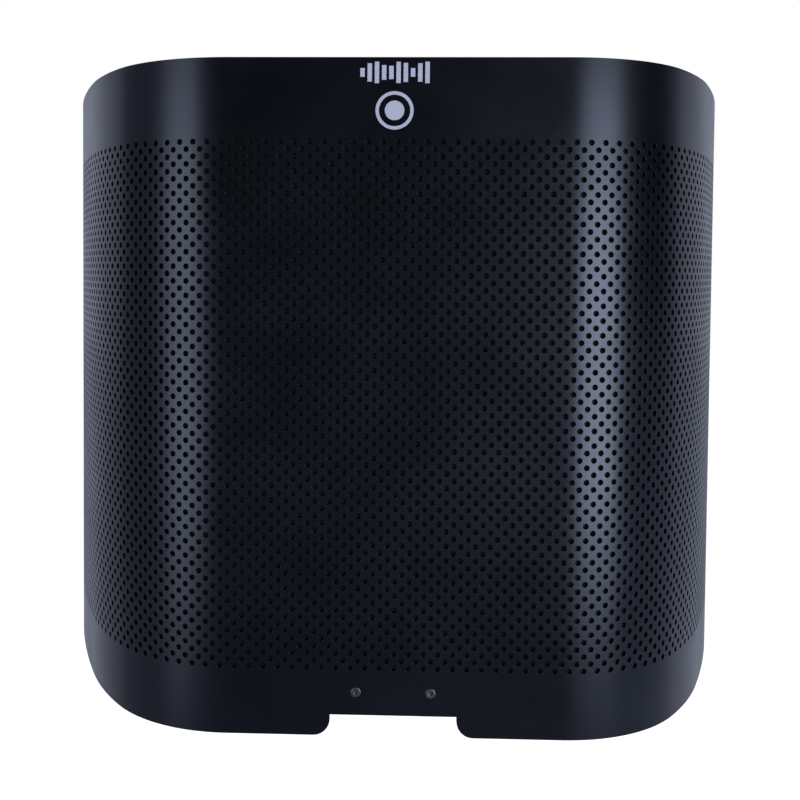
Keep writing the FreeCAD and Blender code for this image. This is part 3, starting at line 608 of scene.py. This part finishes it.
def scalloped(reach, cutter, distance, count, inset=0.0):
    """Reach of a round grip with hollows cut about its rim, softened where they meet it."""
    soft = 0.25 * MM

    def at(angle):
        turn = (angle + math.pi / count) % (2 * math.pi / count) - math.pi / count
        aside = distance * math.sin(turn)
        if abs(aside) >= cutter:
            return reach - inset
        hollow = distance * math.cos(turn) - math.sqrt(cutter ** 2 - aside ** 2)
        gap = (hollow - reach) / soft
        return reach - inset - soft * math.log1p(math.exp(-gap)) if gap > -30 else hollow - inset
    return at


def flat_sided(across, count, corner=None):
    """Reach of a regular bar of this many sides, with its corners taken off at a radius."""
    def at(angle):
        turn = (angle + math.pi / count) % (2 * math.pi / count) - math.pi / count
        return min(across / 2 / math.cos(turn), corner or across)
    return at


def rounded_rim(grip, face, radius, inward):
    """Rings that carry a grip's rim round from its end face; inward is the way into the grip."""
    rings = []
    for step in range(5):
        turn = math.radians(90 * step / 4)
        rings.append((grip(radius * (1 - math.sin(turn))), face + inward * radius * (1 - math.cos(turn))))
    return rings


def pair(low, high, reach):
    """Middles of two like forms of this reach that fill a box from side to side."""
    half, y = (high.x - low.x) / 2 - reach, (low.y + high.y) / 2
    return [(-half, y, 0.0), (half, y, 0.0)]


def make_clamp_knobs(plastic):
    """Moulded star knobs with a dished end and a hub, one on each clamp bolt."""
    for side in ("left", "right"):
        node = "clamp_knob_" + side
        low, high = ends(node)
        insert_low, insert_high = ends("knob_insert_" + side)
        x, y = (insert_low.x + insert_high.x) / 2, (insert_low.y + insert_high.y) / 2
        bottom, top = low.z, high.z
        shoulder = top - 3.5 * MM

        def grip(inset):
            return scalloped(12.5 * MM, cutter=4.0 * MM, distance=13.8 * MM, count=6, inset=inset)

        outline = [(0.0, bottom + 0.9 * MM), (5.2 * MM, bottom + 0.9 * MM), (5.8 * MM, bottom + 0.7 * MM),
                   (6.3 * MM, bottom + 0.1 * MM), (6.6 * MM, bottom)]
        outline += rounded_rim(grip, bottom, 1.8 * MM, 1)
        outline += rounded_rim(grip, shoulder, 1.0 * MM, -1)[::-1]
        outline += [(7.9 * MM, shoulder), (7.5 * MM, shoulder + 0.4 * MM), (7.5 * MM, top - 0.5 * MM),
                    (7.0 * MM, top), (4.5 * MM, top), (4.5 * MM, top - 11.0 * MM), (0.0, top - 11.0 * MM)]
        turned_piece(node, outline, [(x, y, 0.0)], plastic, side + "_clamp", sides=144)


def make_clamp_bolts(zinc):
    """Domed bolts with square necks, threaded down into the knobs."""
    low, high = ends("clamp_bolts")
    rod, head, bracket, edge = 3.0 * MM, 6.5 * MM, 3.0 * MM, 0.8 * MM
    seat = ends("shell_bracket")[0].z + bracket
    neck = flat_sided(6.0 * MM, 4, 4.0 * MM)
    outline = [(0.0, low.z), (2.4 * MM, low.z), (rod, low.z + 0.6 * MM)]
    outline += thread(low.z + 0.6 * MM, seat - 4.0 * MM, crest=rod, depth=0.5 * MM, pitch=1.0 * MM)
    outline += [(rod, seat - 3.0 * MM), (neck, seat - 3.0 * MM), (neck, seat), (6.2 * MM, seat),
                (head, seat + 0.3 * MM), (head, seat + edge)]
    rise = high.z - seat - edge
    for turn in QUARTER_TURN[1:-1]:
        outline.append((head * math.cos(turn), seat + edge + rise * math.sin(turn)))
    outline.append((0.0, high.z))
    turned_piece("clamp_bolts", outline, pair(low, high, head), zinc, "shield")


def make_washers(zinc):
    """Flat washers with eased edges, between the bar and the knobs."""
    low, high = ends("clamp_washers")
    hole, rim = 3.25 * MM, 8.0 * MM
    outline = eased([(hole, low.z), (rim, low.z), (rim, high.z), (hole, high.z)], 0.3 * MM, True)
    turned_piece("clamp_washers", outline, pair(low, high, rim), zinc, "shield", True)


def make_flange_screws(steel):
    """Cap screws with a milled rim and a hexagon socket, on the socket's and the collar's flanges."""
    for node in ("socket_screws", "collar_screws"):
        low, high = ends(node)
        head = 3.5 * MM
        seat = high.z - 2.6 * MM
        hexagon = flat_sided(2.5 * MM, 6)
        rim = scalloped(head, cutter=0.35 * MM, distance=3.72 * MM, count=24)
        outline = [(0.0, low.z), (1.6 * MM, low.z), (2.0 * MM, low.z + 0.4 * MM), (2.0 * MM, seat),
                   (3.3 * MM, seat), (rim, seat + 0.2 * MM), (rim, high.z - 0.5 * MM),
                   (3.15 * MM, high.z), (1.7 * MM, high.z), (hexagon, high.z - 0.25 * MM),
                   (hexagon, high.z - 1.5 * MM), (0.0, high.z - 1.7 * MM)]
        turned_piece(node, outline, pair(low, high, head), steel, "mount", sides=144)


def make_panel_screws(steel):
    """Countersunk socket screws that lie flush in the back panel."""
    low, high = ends("bracket_screws")
    head, rod = 2.35 * MM, 1.25 * MM
    half = (high.x - low.x) / 2 - head
    z = (low.z + high.z) / 2
    length = high.y - low.y
    hexagon = flat_sided(1.9 * MM, 6)
    outline = [(0.0, 0.9 * MM), (hexagon, 0.8 * MM), (hexagon, 0.12 * MM), (rod, 0.02 * MM),
               (2.2 * MM, 0.02 * MM), (head, 0.1 * MM), (rod, 1.2 * MM),
               (rod, length - 0.3 * MM), (1.0 * MM, length), (0.0, length)]
    places = [(-half, SHELL_BACK, z), (half, SHELL_BACK, z)]
    turned_piece("bracket_screws", outline, places, steel, "shield", sides=96, along="Y")


def make_stand_socket(steel):
    """Flanged socket, threaded from its open lower end."""
    bore, deep, barrel, flange, seat, top = (size * MM for size in (7.94, 17.0, 12.5, 18.0, 20.0, 24.0))
    outline = [(0.0, deep), (bore, deep)]
    outline += thread(deep, 0.9 * MM, crest=bore, depth=0.5 * MM, pitch=THREAD_PITCH)
    outline += eased([(8.7 * MM, 0.0), (barrel, 0.0), (barrel, seat), (flange, seat), (flange, top),
                      (0.0, top)], 0.7 * MM)
    turned_piece("stand_socket", outline, [(0.0, 0.0, 0.0)], steel, "mount", sides=72)


def make_collar(steel):
    """Flanged collar for the post, drilled on its open side for the thumb screw."""
    low, high = ends("post_collar")
    y = (low.y + high.y) / 2
    bore, flange, barrel, seat = 6.4 * MM, 20.0 * MM, 13.0 * MM, low.z + 4.0 * MM
    outline = eased([(bore, low.z), (flange, low.z), (flange, seat), (barrel, seat), (barrel, high.z),
                     (bore, high.z)], 0.7 * MM, True)
    piece = turned_piece("post_collar", outline, [(0.0, y, 0.0)], steel, "mount", True, 72)
    level = sum(corner[2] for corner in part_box("thumb_screw")) / 2
    reach, length = 2.6 * MM, 20 * MM
    drill, faces = turned_shape([(0.0, 0.0), (reach, 0.0), (reach, length), (0.0, length)], False, 32)
    carve(piece, [(a, y + c, level - b) for a, b, c in drill], faces)
    crease(piece, 32)


def make_post(chrome):
    """Grooved post with a head, a neck and a fine microphone thread."""
    low, high = ends("mic_post")
    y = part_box("mic_lock_ring")[0][1] + LOCK_RING_REACH
    top = high.z
    post, head, neck = 6.35 * MM, 11.0 * MM, 7.7 * MM
    head_low, head_high, thread_low = top - 24.0 * MM, top - 21.0 * MM, top - 14.0 * MM
    stem = [(5.6 * MM, low.z), (post, low.z + 0.8 * MM), (post, head_low), (head, head_low),
            (head, head_high), (neck, head_high), (neck, thread_low)]
    outline = [(0.0, low.z)] + eased(stem, 0.5 * MM)
    outline += thread(thread_low, top - 1.0 * MM, crest=7.9375 * MM, depth=0.55 * MM, pitch=THREAD_PITCH)
    outline += [(7.0 * MM, top), (0.0, top)]
    piece = turned_piece("mic_post", outline, [(0.0, y, 0.0)], chrome, "post", sides=72)
    groove_low, groove_high, reach, floor, clear = (size * MM for size in (25.0, 65.0, 2.75, 5.15, 9.0))
    rim = []
    for centre, start in ((groove_high, 0), (groove_low, 180)):
        for step in range(13):
            turn = math.radians(start + 15 * step)
            rim.append((reach * math.cos(turn), centre + reach * math.sin(turn)))
    count = len(rim)
    corners = [(x, y + depth, z) for depth in (floor, clear) for x, z in rim]
    faces = [list(range(count)), list(range(2 * count - 1, count - 1, -1))]
    for index in range(count):
        after = (index + 1) % count
        faces.append([index, index + count, after + count, after])
    carve(piece, corners, faces)
    crease(piece, 32)


def make_thumb_grip(plastic):
    """Fluted moulded grip on the thumb screw."""
    low, high = ends("thumb_knob")
    x, z = (low.x + high.x) / 2, (low.z + high.z) / 2
    length = high.y - low.y

    def grip(inset):
        return scalloped(9.0 * MM, cutter=2.0 * MM, distance=9.7 * MM, count=8, inset=inset)

    outline = [(0.0, 10.2 * MM), (2.55 * MM, 10.2 * MM), (2.55 * MM, 0.0), (5.5 * MM, 0.0)]
    outline += rounded_rim(grip, 0.0, 0.8 * MM, 1)
    outline += rounded_rim(grip, length, 1.6 * MM, -1)[::-1]
    outline += [(5.4 * MM, length), (5.0 * MM, length - 0.5 * MM), (0.0, length - 0.5 * MM)]
    places = [(x, low.y, z)]
    turned_piece("thumb_knob", outline, places, plastic, "post_clamp", sides=128, along="Y")


def make_lock_ring(steel):
    """Fluted ring on the microphone thread, with eased rims."""
    low, high = ends("mic_lock_ring")
    y = (low.y + high.y) / 2

    def grip(inset):
        return scalloped(LOCK_RING_REACH, cutter=2.0 * MM, distance=15.7 * MM, count=10, inset=inset)

    outline = [(8.0 * MM, low.z + 0.6 * MM), (8.6 * MM, low.z), (12.6 * MM, low.z)]
    outline += rounded_rim(grip, low.z, 0.8 * MM, 1)
    outline += rounded_rim(grip, high.z, 0.8 * MM, -1)[::-1]
    outline += [(12.6 * MM, high.z), (8.6 * MM, high.z), (8.0 * MM, high.z - 0.6 * MM)]
    turned_piece("mic_lock_ring", outline, [(0.0, y, 0.0)], steel, "lock_ring", True, 160)


def make_hardware(materials):
    make_panel_screws(materials["screw_steel"])
    make_clamp_bolts(materials["zinc_steel"])
    make_washers(materials["zinc_steel"])
    make_clamp_knobs(materials["knob_plastic"])
    make_stand_socket(materials["turned_steel"])
    make_collar(materials["turned_steel"])
    make_flange_screws(materials["black_screws"])
    make_post(materials["post_chrome"])
    make_thumb_grip(materials["knob_plastic"])
    make_lock_ring(materials["turned_steel"])


# -------- materials

class Nodes:
    """Short words for laying out a material's or a group's nodes."""

    def __init__(self, tree):
        self.tree = tree

    def add(self, kind, **settings):
        node = self.tree.nodes.new(kind)
        for name, value in settings.items():
            setattr(node, name, value)
        return node

    def link(self, source, target):
        self.tree.links.new(source, target)

    def feed(self, node, socket, value):
        """Set a socket's value, or link it when the value is an output."""
        if isinstance(value, bpy.types.NodeSocket):
            self.link(value, node.inputs[socket])
        else:
            node.inputs[socket].default_value = value

    def math(self, operation, first, second=0.0, third=None):
        node = self.add("ShaderNodeMath", operation=operation)
        self.feed(node, 0, first)
        self.feed(node, 1, second)
        if third is not None:
            self.feed(node, 2, third)
        return node.outputs[0]

    def blend(self, factor, first, second):
        node = self.add("ShaderNodeMix", data_type="RGBA")
        self.feed(node, 0, factor)
        self.feed(node, 6, first)
        self.feed(node, 7, second)
        return node.outputs[2]

    def noise(self, vector, scale, detail=2.0, roughness=0.5):
        node = self.add("ShaderNodeTexNoise")
        self.feed(node, "Vector", vector)
        self.feed(node, "Scale", scale)
        self.feed(node, "Detail", detail)
        self.feed(node, "Roughness", roughness)
        return node.outputs["Fac"]

    def spread(self, value, low, high, to_low=0.0, to_high=1.0):
        node = self.add("ShaderNodeMapRange", clamp=True)
        self.feed(node, 0, value)
        for index, limit in enumerate((low, high, to_low, to_high), start=1):
            self.feed(node, index, limit)
        return node.outputs[0]

    def split(self, vector):
        """The X, Y and Z of a vector."""
        node = self.add("ShaderNodeSeparateXYZ")
        self.link(vector, node.inputs[0])
        return node.outputs

    def bump(self, height, strength, distance):
        node = self.add("ShaderNodeBump")
        self.feed(node, "Height", height)
        self.feed(node, "Strength", strength)
        self.feed(node, "Distance", distance)
        return node.outputs["Normal"]


def new_group(name, inputs, outputs):
    """A shader node group; an input's default is a number, or None for a vector. Outputs are numbers."""
    group = bpy.data.node_groups.new(name, "ShaderNodeTree")
    for label, value in inputs:
        kind = "NodeSocketVector" if value is None else "NodeSocketFloat"
        socket = group.interface.new_socket(label, in_out="INPUT", socket_type=kind)
        if value is not None:
            socket.default_value = value
    for label in outputs:
        group.interface.new_socket(label, in_out="OUTPUT", socket_type="NodeSocketFloat")
    nodes = Nodes(group)
    return group, nodes, nodes.add("NodeGroupInput"), nodes.add("NodeGroupOutput")


def make_surface_grain():
    """Fine grain of a coating or casting: a mottled shade mask and a height for a bump."""
    group, nodes, inside, outside = new_group(
        "surface_grain", [("Fine Scale", 1500.0), ("Broad Scale", 40.0)], ["Mottle", "Height"])
    place = nodes.add("ShaderNodeTexCoord").outputs["Object"]
    fine = nodes.noise(place, inside.outputs["Fine Scale"], 3.0, 0.6)
    broad = nodes.noise(place, inside.outputs["Broad Scale"], 4.0, 0.55)
    nodes.link(nodes.spread(broad, 0.35, 0.65), outside.inputs["Mottle"])
    nodes.link(fine, outside.inputs["Height"])
    return group


def new_material(name, base, roughness, metallic=0.0):
    """A material with its Principled shader, and its node words."""
    material = bpy.data.materials.new(name)
    material.use_nodes = True
    nodes = Nodes(material.node_tree)
    shader = material.node_tree.nodes["Principled BSDF"]
    shader.inputs["Base Color"].default_value = (*base, 1.0)
    shader.inputs["Roughness"].default_value = roughness
    shader.inputs["Metallic"].default_value = metallic
    return material, nodes, shader


def place_group(nodes, group, **values):
    node = nodes.add("ShaderNodeGroup", node_tree=group)
    for label, value in values.items():
        nodes.feed(node, label.replace("_", " "), value)
    return node


def grained(name, grain, base, roughness, metallic=0.0, fine=1500.0, broad=40.0, mottle=0.12,
            relief=0.02 * MM, spread=0.08):
    """A material whose shade and roughness drift a little and whose surface has a fine grain."""
    material, nodes, shader = new_material(name, base, roughness, metallic)
    texture = place_group(nodes, grain, Fine_Scale=fine, Broad_Scale=broad)
    darker = tuple(channel * (1 - mottle) for channel in base)
    lighter = tuple(min(channel * (1 + mottle), 1.0) for channel in base)
    colour = nodes.blend(texture.outputs["Mottle"], (*darker, 1.0), (*lighter, 1.0))
    nodes.link(colour, shader.inputs["Base Color"])
    limits = roughness - spread / 2, roughness + spread / 2
    nodes.link(nodes.spread(texture.outputs["Mottle"], 0.0, 1.0, *limits), shader.inputs["Roughness"])
    nodes.link(nodes.bump(texture.outputs["Height"], 0.35, relief), shader.inputs["Normal"])
    return material, nodes, shader


def make_print_mask():
    """Where the pale print sits on the back panel: a row of level bars over a ring with a dot."""
    group, nodes, inside, outside = new_group(
        "print_mask", [("Place", None), ("Top", 0.0), ("Back", 0.0)], ["Mask"])
    calc = nodes.math
    x, y, z = nodes.split(inside.outputs["Place"])
    below = calc("SUBTRACT", inside.outputs["Top"], z)

    def within(value, limit, soft=0.05 * MM):
        return nodes.spread(value, limit - soft, limit + soft, 1.0, 0.0)

    pitch, bar_count = 3.4 * MM, 10
    shifted = calc("ADD", x, 1.75 * MM)
    number = calc("FLOOR", calc("DIVIDE", shifted, pitch))
    share = calc("FRACT", calc("DIVIDE", shifted, pitch))
    in_bar = calc("ABSOLUTE", calc("SUBTRACT", share, 0.5))
    wave = calc("ABSOLUTE", calc("SINE", calc("MULTIPLY_ADD", number, 0.9, 1.3)))
    half_height = calc("MULTIPLY_ADD", wave, 3.2 * MM, 1.9 * MM)
    from_middle = calc("ABSOLUTE", calc("SUBTRACT", below, 7.2 * MM))
    in_height = calc("LESS_THAN", from_middle, half_height)
    in_row = within(calc("ABSOLUTE", shifted), pitch * bar_count / 2)
    bars = calc("MULTIPLY", calc("MULTIPLY", within(in_bar, 0.31, 0.02), in_height), in_row)

    across = calc("ADD", x, 1.8 * MM)
    down = calc("SUBTRACT", below, 25.0 * MM)
    squares = [calc("MULTIPLY", way, way) for way in (across, down)]
    radius = calc("SQRT", calc("ADD", *squares))
    ring = calc("MULTIPLY", within(radius, 9.0 * MM), calc("SUBTRACT", 1.0, within(radius, 7.4 * MM)))
    dot = within(radius, 4.6 * MM)
    mark = calc("MAXIMUM", bars, calc("MAXIMUM", ring, dot))
    outside_face = within(calc("ABSOLUTE", calc("SUBTRACT", y, inside.outputs["Back"])), 0.4 * MM)
    nodes.link(calc("MULTIPLY", mark, outside_face), outside.inputs["Mask"])
    return group


def make_coat(grain):
    """Satin near-black powder coat with a cool sheen, and a pale print near the top edge."""
    base = (0.0016, 0.0021, 0.0031)
    material, nodes, shader = grained(
        "shell_coat", grain, base, 0.29, fine=2600.0, broad=22.0, mottle=0.22, relief=0.012 * MM, spread=0.05)
    shader.inputs["Specular Tint"].default_value = (0.62, 0.72, 1.0, 1.0)
    shader.inputs["Specular IOR Level"].default_value = 0.5
    place = nodes.add("ShaderNodeTexCoord").outputs["Object"]
    mask = place_group(nodes, make_print_mask(), Top=SHELL_TOP, Back=SHELL_BACK)
    nodes.link(place, mask.inputs["Place"])
    coat_colour = shader.inputs["Base Color"].links[0].from_socket
    ink = nodes.blend(nodes.noise(place, 900.0, 3.0), (0.42, 0.46, 0.62, 1.0), (0.47, 0.51, 0.69, 1.0))
    nodes.link(nodes.blend(mask.outputs["Mask"], coat_colour, ink), shader.inputs["Base Color"])
    return material


def make_open_cells():
    """Open cells of foam: a mask from the pits, at 0, to the skin between them, at 1, that darkens the pits
    as painted shade and drifts at random, and a height.
    """
    group, nodes, inside, outside = new_group(
        "open_cells", [("Cell Scale", 1100.0), ("Drift Scale", 28.0)], ["Skin", "Height"])
    place = nodes.add("ShaderNodeTexCoord").outputs["Object"]
    levels = []
    for share in (1.0, 0.43):
        cells = nodes.add("ShaderNodeTexVoronoi", feature="F1")
        nodes.feed(cells, "Vector", place)
        nodes.feed(cells, "Scale", nodes.math("MULTIPLY", inside.outputs["Cell Scale"], share))
        levels.append(nodes.spread(cells.outputs["Distance"], 0.0, 0.5))
    fine, coarse = levels
    pitted = nodes.math("MULTIPLY", fine, nodes.spread(coarse, 0.0, 0.8, 0.7, 1.0))
    drift = nodes.spread(nodes.noise(place, inside.outputs["Drift Scale"], 5.0, 0.6), 0.3, 0.7, 0.72, 1.0)
    nodes.link(nodes.math("MULTIPLY", pitted, drift), outside.inputs["Skin"])
    nodes.link(pitted, outside.inputs["Height"])
    return group


def foam_material(name, cells, pit, skin):
    """Open-cell acoustic foam, matte and pitted all over, between the colour of a pit, a painted shade, and
    the colour of the skin.
    """
    material, nodes, shader = new_material(name, skin, 0.95)
    texture = place_group(nodes, cells, Cell_Scale=1500.0, Drift_Scale=28.0)
    # Pits take the darker colour: painted shade in the open cells.
    colour = nodes.blend(texture.outputs["Skin"], (*pit, 1.0), (*skin, 1.0))
    nodes.link(colour, shader.inputs["Base Color"])
    nodes.link(nodes.bump(texture.outputs["Height"], 0.5, 0.35 * MM), shader.inputs["Normal"])
    shader.inputs["Specular IOR Level"].default_value = 0.15
    return material


def make_materials():
    grain = make_surface_grain()
    cells = make_open_cells()

    def plain(name, base, roughness, metallic=0.0, **drift):
        return grained(name, grain, base, roughness, metallic, **drift)[0]

    return {
        "black_steel": plain("bar_coat", (0.012, 0.013, 0.015), 0.42),
        "turned_steel": plain("turned_black", (0.014, 0.015, 0.017), 0.34, relief=0.008 * MM),
        "black_screws": plain("black_oxide", (0.030, 0.031, 0.034), 0.40, 0.9, relief=0.01 * MM),
        "screw_steel": plain("blackened_screw", (0.10, 0.11, 0.13), 0.38, 0.9, relief=0.01 * MM),
        "zinc_steel": plain("zinc_plate", (0.56, 0.58, 0.60), 0.34, 1.0, broad=120.0, relief=0.008 * MM),
        "knob_plastic": plain("moulded_black", (0.013, 0.013, 0.014), 0.52, fine=3500.0, relief=0.03 * MM),
        "insert_brass": plain("machined_brass", (0.62, 0.42, 0.16), 0.30, 1.0, relief=0.006 * MM),
        "post_chrome": plain("bright_chrome", (0.62, 0.63, 0.65), 0.10, 1.0, mottle=0.03,
                             relief=0.002 * MM, spread=0.03),
        "shell_coat": make_coat(grain),
        "foam": foam_material("acoustic_foam", cells, (0.016, 0.016, 0.018), (0.047, 0.048, 0.052)),
        # Darker copy of the foam for its back faces: painted shade, seen through the holes.
        "foam_back": foam_material("foam_back_painted_shade", cells, (0.003, 0.003, 0.004), (0.010, 0.011, 0.014)),
    }


def dress_cad_nodes(materials):
    """Give every carried-over CAD node the material of its slot in the record."""
    for subpart in frame["record"]["subparts"]:
        node = frame["nodes"][subpart["node"]]
        node.data.materials.clear()
        node.data.materials.append(materials[subpart["material_slot"]])


# -------- room, light and camera

def background_rays(nodes):
    """1 for the rays that see the plain white background, straight or through glass."""
    path = nodes.add("ShaderNodeLightPath")
    return nodes.math("MAXIMUM", path.outputs["Is Camera Ray"], path.outputs["Is Transmission Ray"])


def make_room():
    """Pale floor well below the shield; in reflections it glows beyond and beside the shield."""
    mesh = bpy.data.meshes.new("floor")
    size, level = 14.0, SHELL_BOTTOM - 0.95
    corners = [(-size, -size), (size, -size), (size, size), (-size, size)]
    mesh.from_pydata([(x, y, level) for x, y in corners], [], [(0, 1, 2, 3)])
    floor = placed("floor", mesh)
    material, nodes, shader = new_material("floor_white", (0.25, 0.25, 0.26), 0.9)
    shader.inputs["Specular IOR Level"].default_value = 0.0
    mesh.materials.append(material)
    lift = nodes.add("ShaderNodeEmission")
    plain = nodes.math("MULTIPLY", background_rays(nodes), 0.97)
    outward = nodes.add("ShaderNodeVectorMath", operation="NORMALIZE")
    nodes.link(nodes.add("ShaderNodeTexCoord").outputs["Object"], outward.inputs[0])
    x, y, _ = nodes.split(outward.outputs[0])
    beyond = nodes.spread(nodes.math("MULTIPLY_ADD", x, 0.12, y), -0.03, 0.6, 0.0, 0.42)
    on_right = nodes.spread(x, 0.55, 0.9, 0.0, 0.34)
    on_left = nodes.spread(x, -0.92, -0.66, 0.14, 0.0)
    glow = nodes.math("MAXIMUM", beyond, nodes.math("MAXIMUM", on_right, on_left))
    glossy = nodes.add("ShaderNodeLightPath").outputs["Is Glossy Ray"]
    strength = nodes.math("MAXIMUM", plain, nodes.math("MULTIPLY", glow, glossy))
    nodes.link(strength, lift.inputs["Strength"])
    nodes.link(nodes.blend(glossy, (1.0, 1.0, 1.0, 1.0), (0.72, 0.80, 1.0, 1.0)), lift.inputs["Color"])
    both = nodes.add("ShaderNodeAddShader")
    nodes.link(shader.outputs[0], both.inputs[0])
    nodes.link(lift.outputs[0], both.inputs[1])
    nodes.link(both.outputs[0], material.node_tree.nodes["Material Output"].inputs["Surface"])


def make_world():
    """A white backdrop beyond the shield; the near side of the room is dim, as between black screens."""
    world = bpy.data.worlds.new("studio")
    bpy.context.scene.world = world
    world.use_nodes = True
    nodes = Nodes(world.node_tree)
    background = world.node_tree.nodes["Background"]
    direction = nodes.add("ShaderNodeTexCoord").outputs["Generated"]
    x, y, z = nodes.split(direction)
    beyond = nodes.spread(y, 0.02, 0.62, 0.03, 0.68)
    above = nodes.spread(z, 0.45, 0.95, 0.0, 0.9)
    beside = nodes.spread(x, -0.93, -0.55, 0.24, 0.03)
    lit = nodes.math("MAXIMUM", nodes.math("MAXIMUM", beyond, beside), above)
    seen = background_rays(nodes)
    nodes.link(nodes.math("MAXIMUM", seen, lit), background.inputs["Strength"])
    colour = nodes.blend(seen, (0.74, 0.80, 1.0, 1.0), (1.0, 1.0, 1.0, 1.0))
    nodes.link(colour, background.inputs["Color"])


def add_softbox(name, azimuth, distance, width, height, level, power, lean=0.0):
    """A softbox that faces the shield; azimuth is from straight behind it, to the right."""
    light = bpy.data.lights.new(name, "AREA")
    light.shape = "RECTANGLE"
    light.size, light.size_y = width, height
    light.energy = power
    lamp = placed(name, light)
    turn = math.radians(azimuth)
    target = Vector((0.0, SHELL_BACK, (SHELL_BOTTOM + SHELL_TOP) / 2))
    place = target + Vector((math.sin(turn) * distance, -math.cos(turn) * distance, level))
    lamp.location = place
    facing = (target - place).to_track_quat("-Z", "Y").to_matrix()
    lamp.rotation_euler = (facing @ Matrix.Rotation(math.radians(lean), 3, "Z")).to_euler()


def make_lights():
    """Two softboxes for the bright bands down the bends, and one for the open side."""
    add_softbox("left_softbox", -46.5, 1.7, width=0.80, height=1.1, level=-0.04, power=9.7, lean=14.0)
    add_softbox("right_softbox", 37, 1.7, width=0.86, height=0.92, level=-0.06, power=20.0)
    add_softbox("open_side_softbox", 180, 2.2, width=1.5, height=1.2, level=1.0, power=40.0)


def make_camera():
    """Camera behind the closed back, a little above the middle and turned slightly to the left."""
    camera = bpy.data.cameras.new("camera")
    camera.sensor_width = 36.0
    camera.lens = 45.576
    camera.shift_x = 0.0605
    camera.shift_y = -0.1180
    camera.clip_end = 50.0
    holder = placed("camera", camera)
    bpy.context.scene.camera = holder
    yaw, pitch, roll = 0.0325, -0.0345, -0.0075
    turned = Matrix.Rotation(yaw, 3, "Z") @ Matrix.Rotation(pitch, 3, "X")
    turned = turned @ Matrix.Rotation(-roll, 3, "Y").inverted()
    right, forward, up = turned.col[0], turned.col[1], turned.col[2]
    axes = Matrix((right, up, -forward)).transposed()
    place = Vector((-5.75 * MM, SHELL_BACK - 481.1 * MM, SHELL_BOTTOM + 224.3 * MM))
    holder.matrix_world = Matrix.Translation(place) @ axes.to_4x4()


# -------- build

def main():
    bpy.context.scene.view_settings.view_transform = "Standard"
    materials = make_materials()
    dress_cad_nodes(materials)
    make_shell(materials["shell_coat"])
    make_foam(materials)
    make_hardware(materials)
    make_room()
    make_world()
    make_lights()
    make_camera()


main()
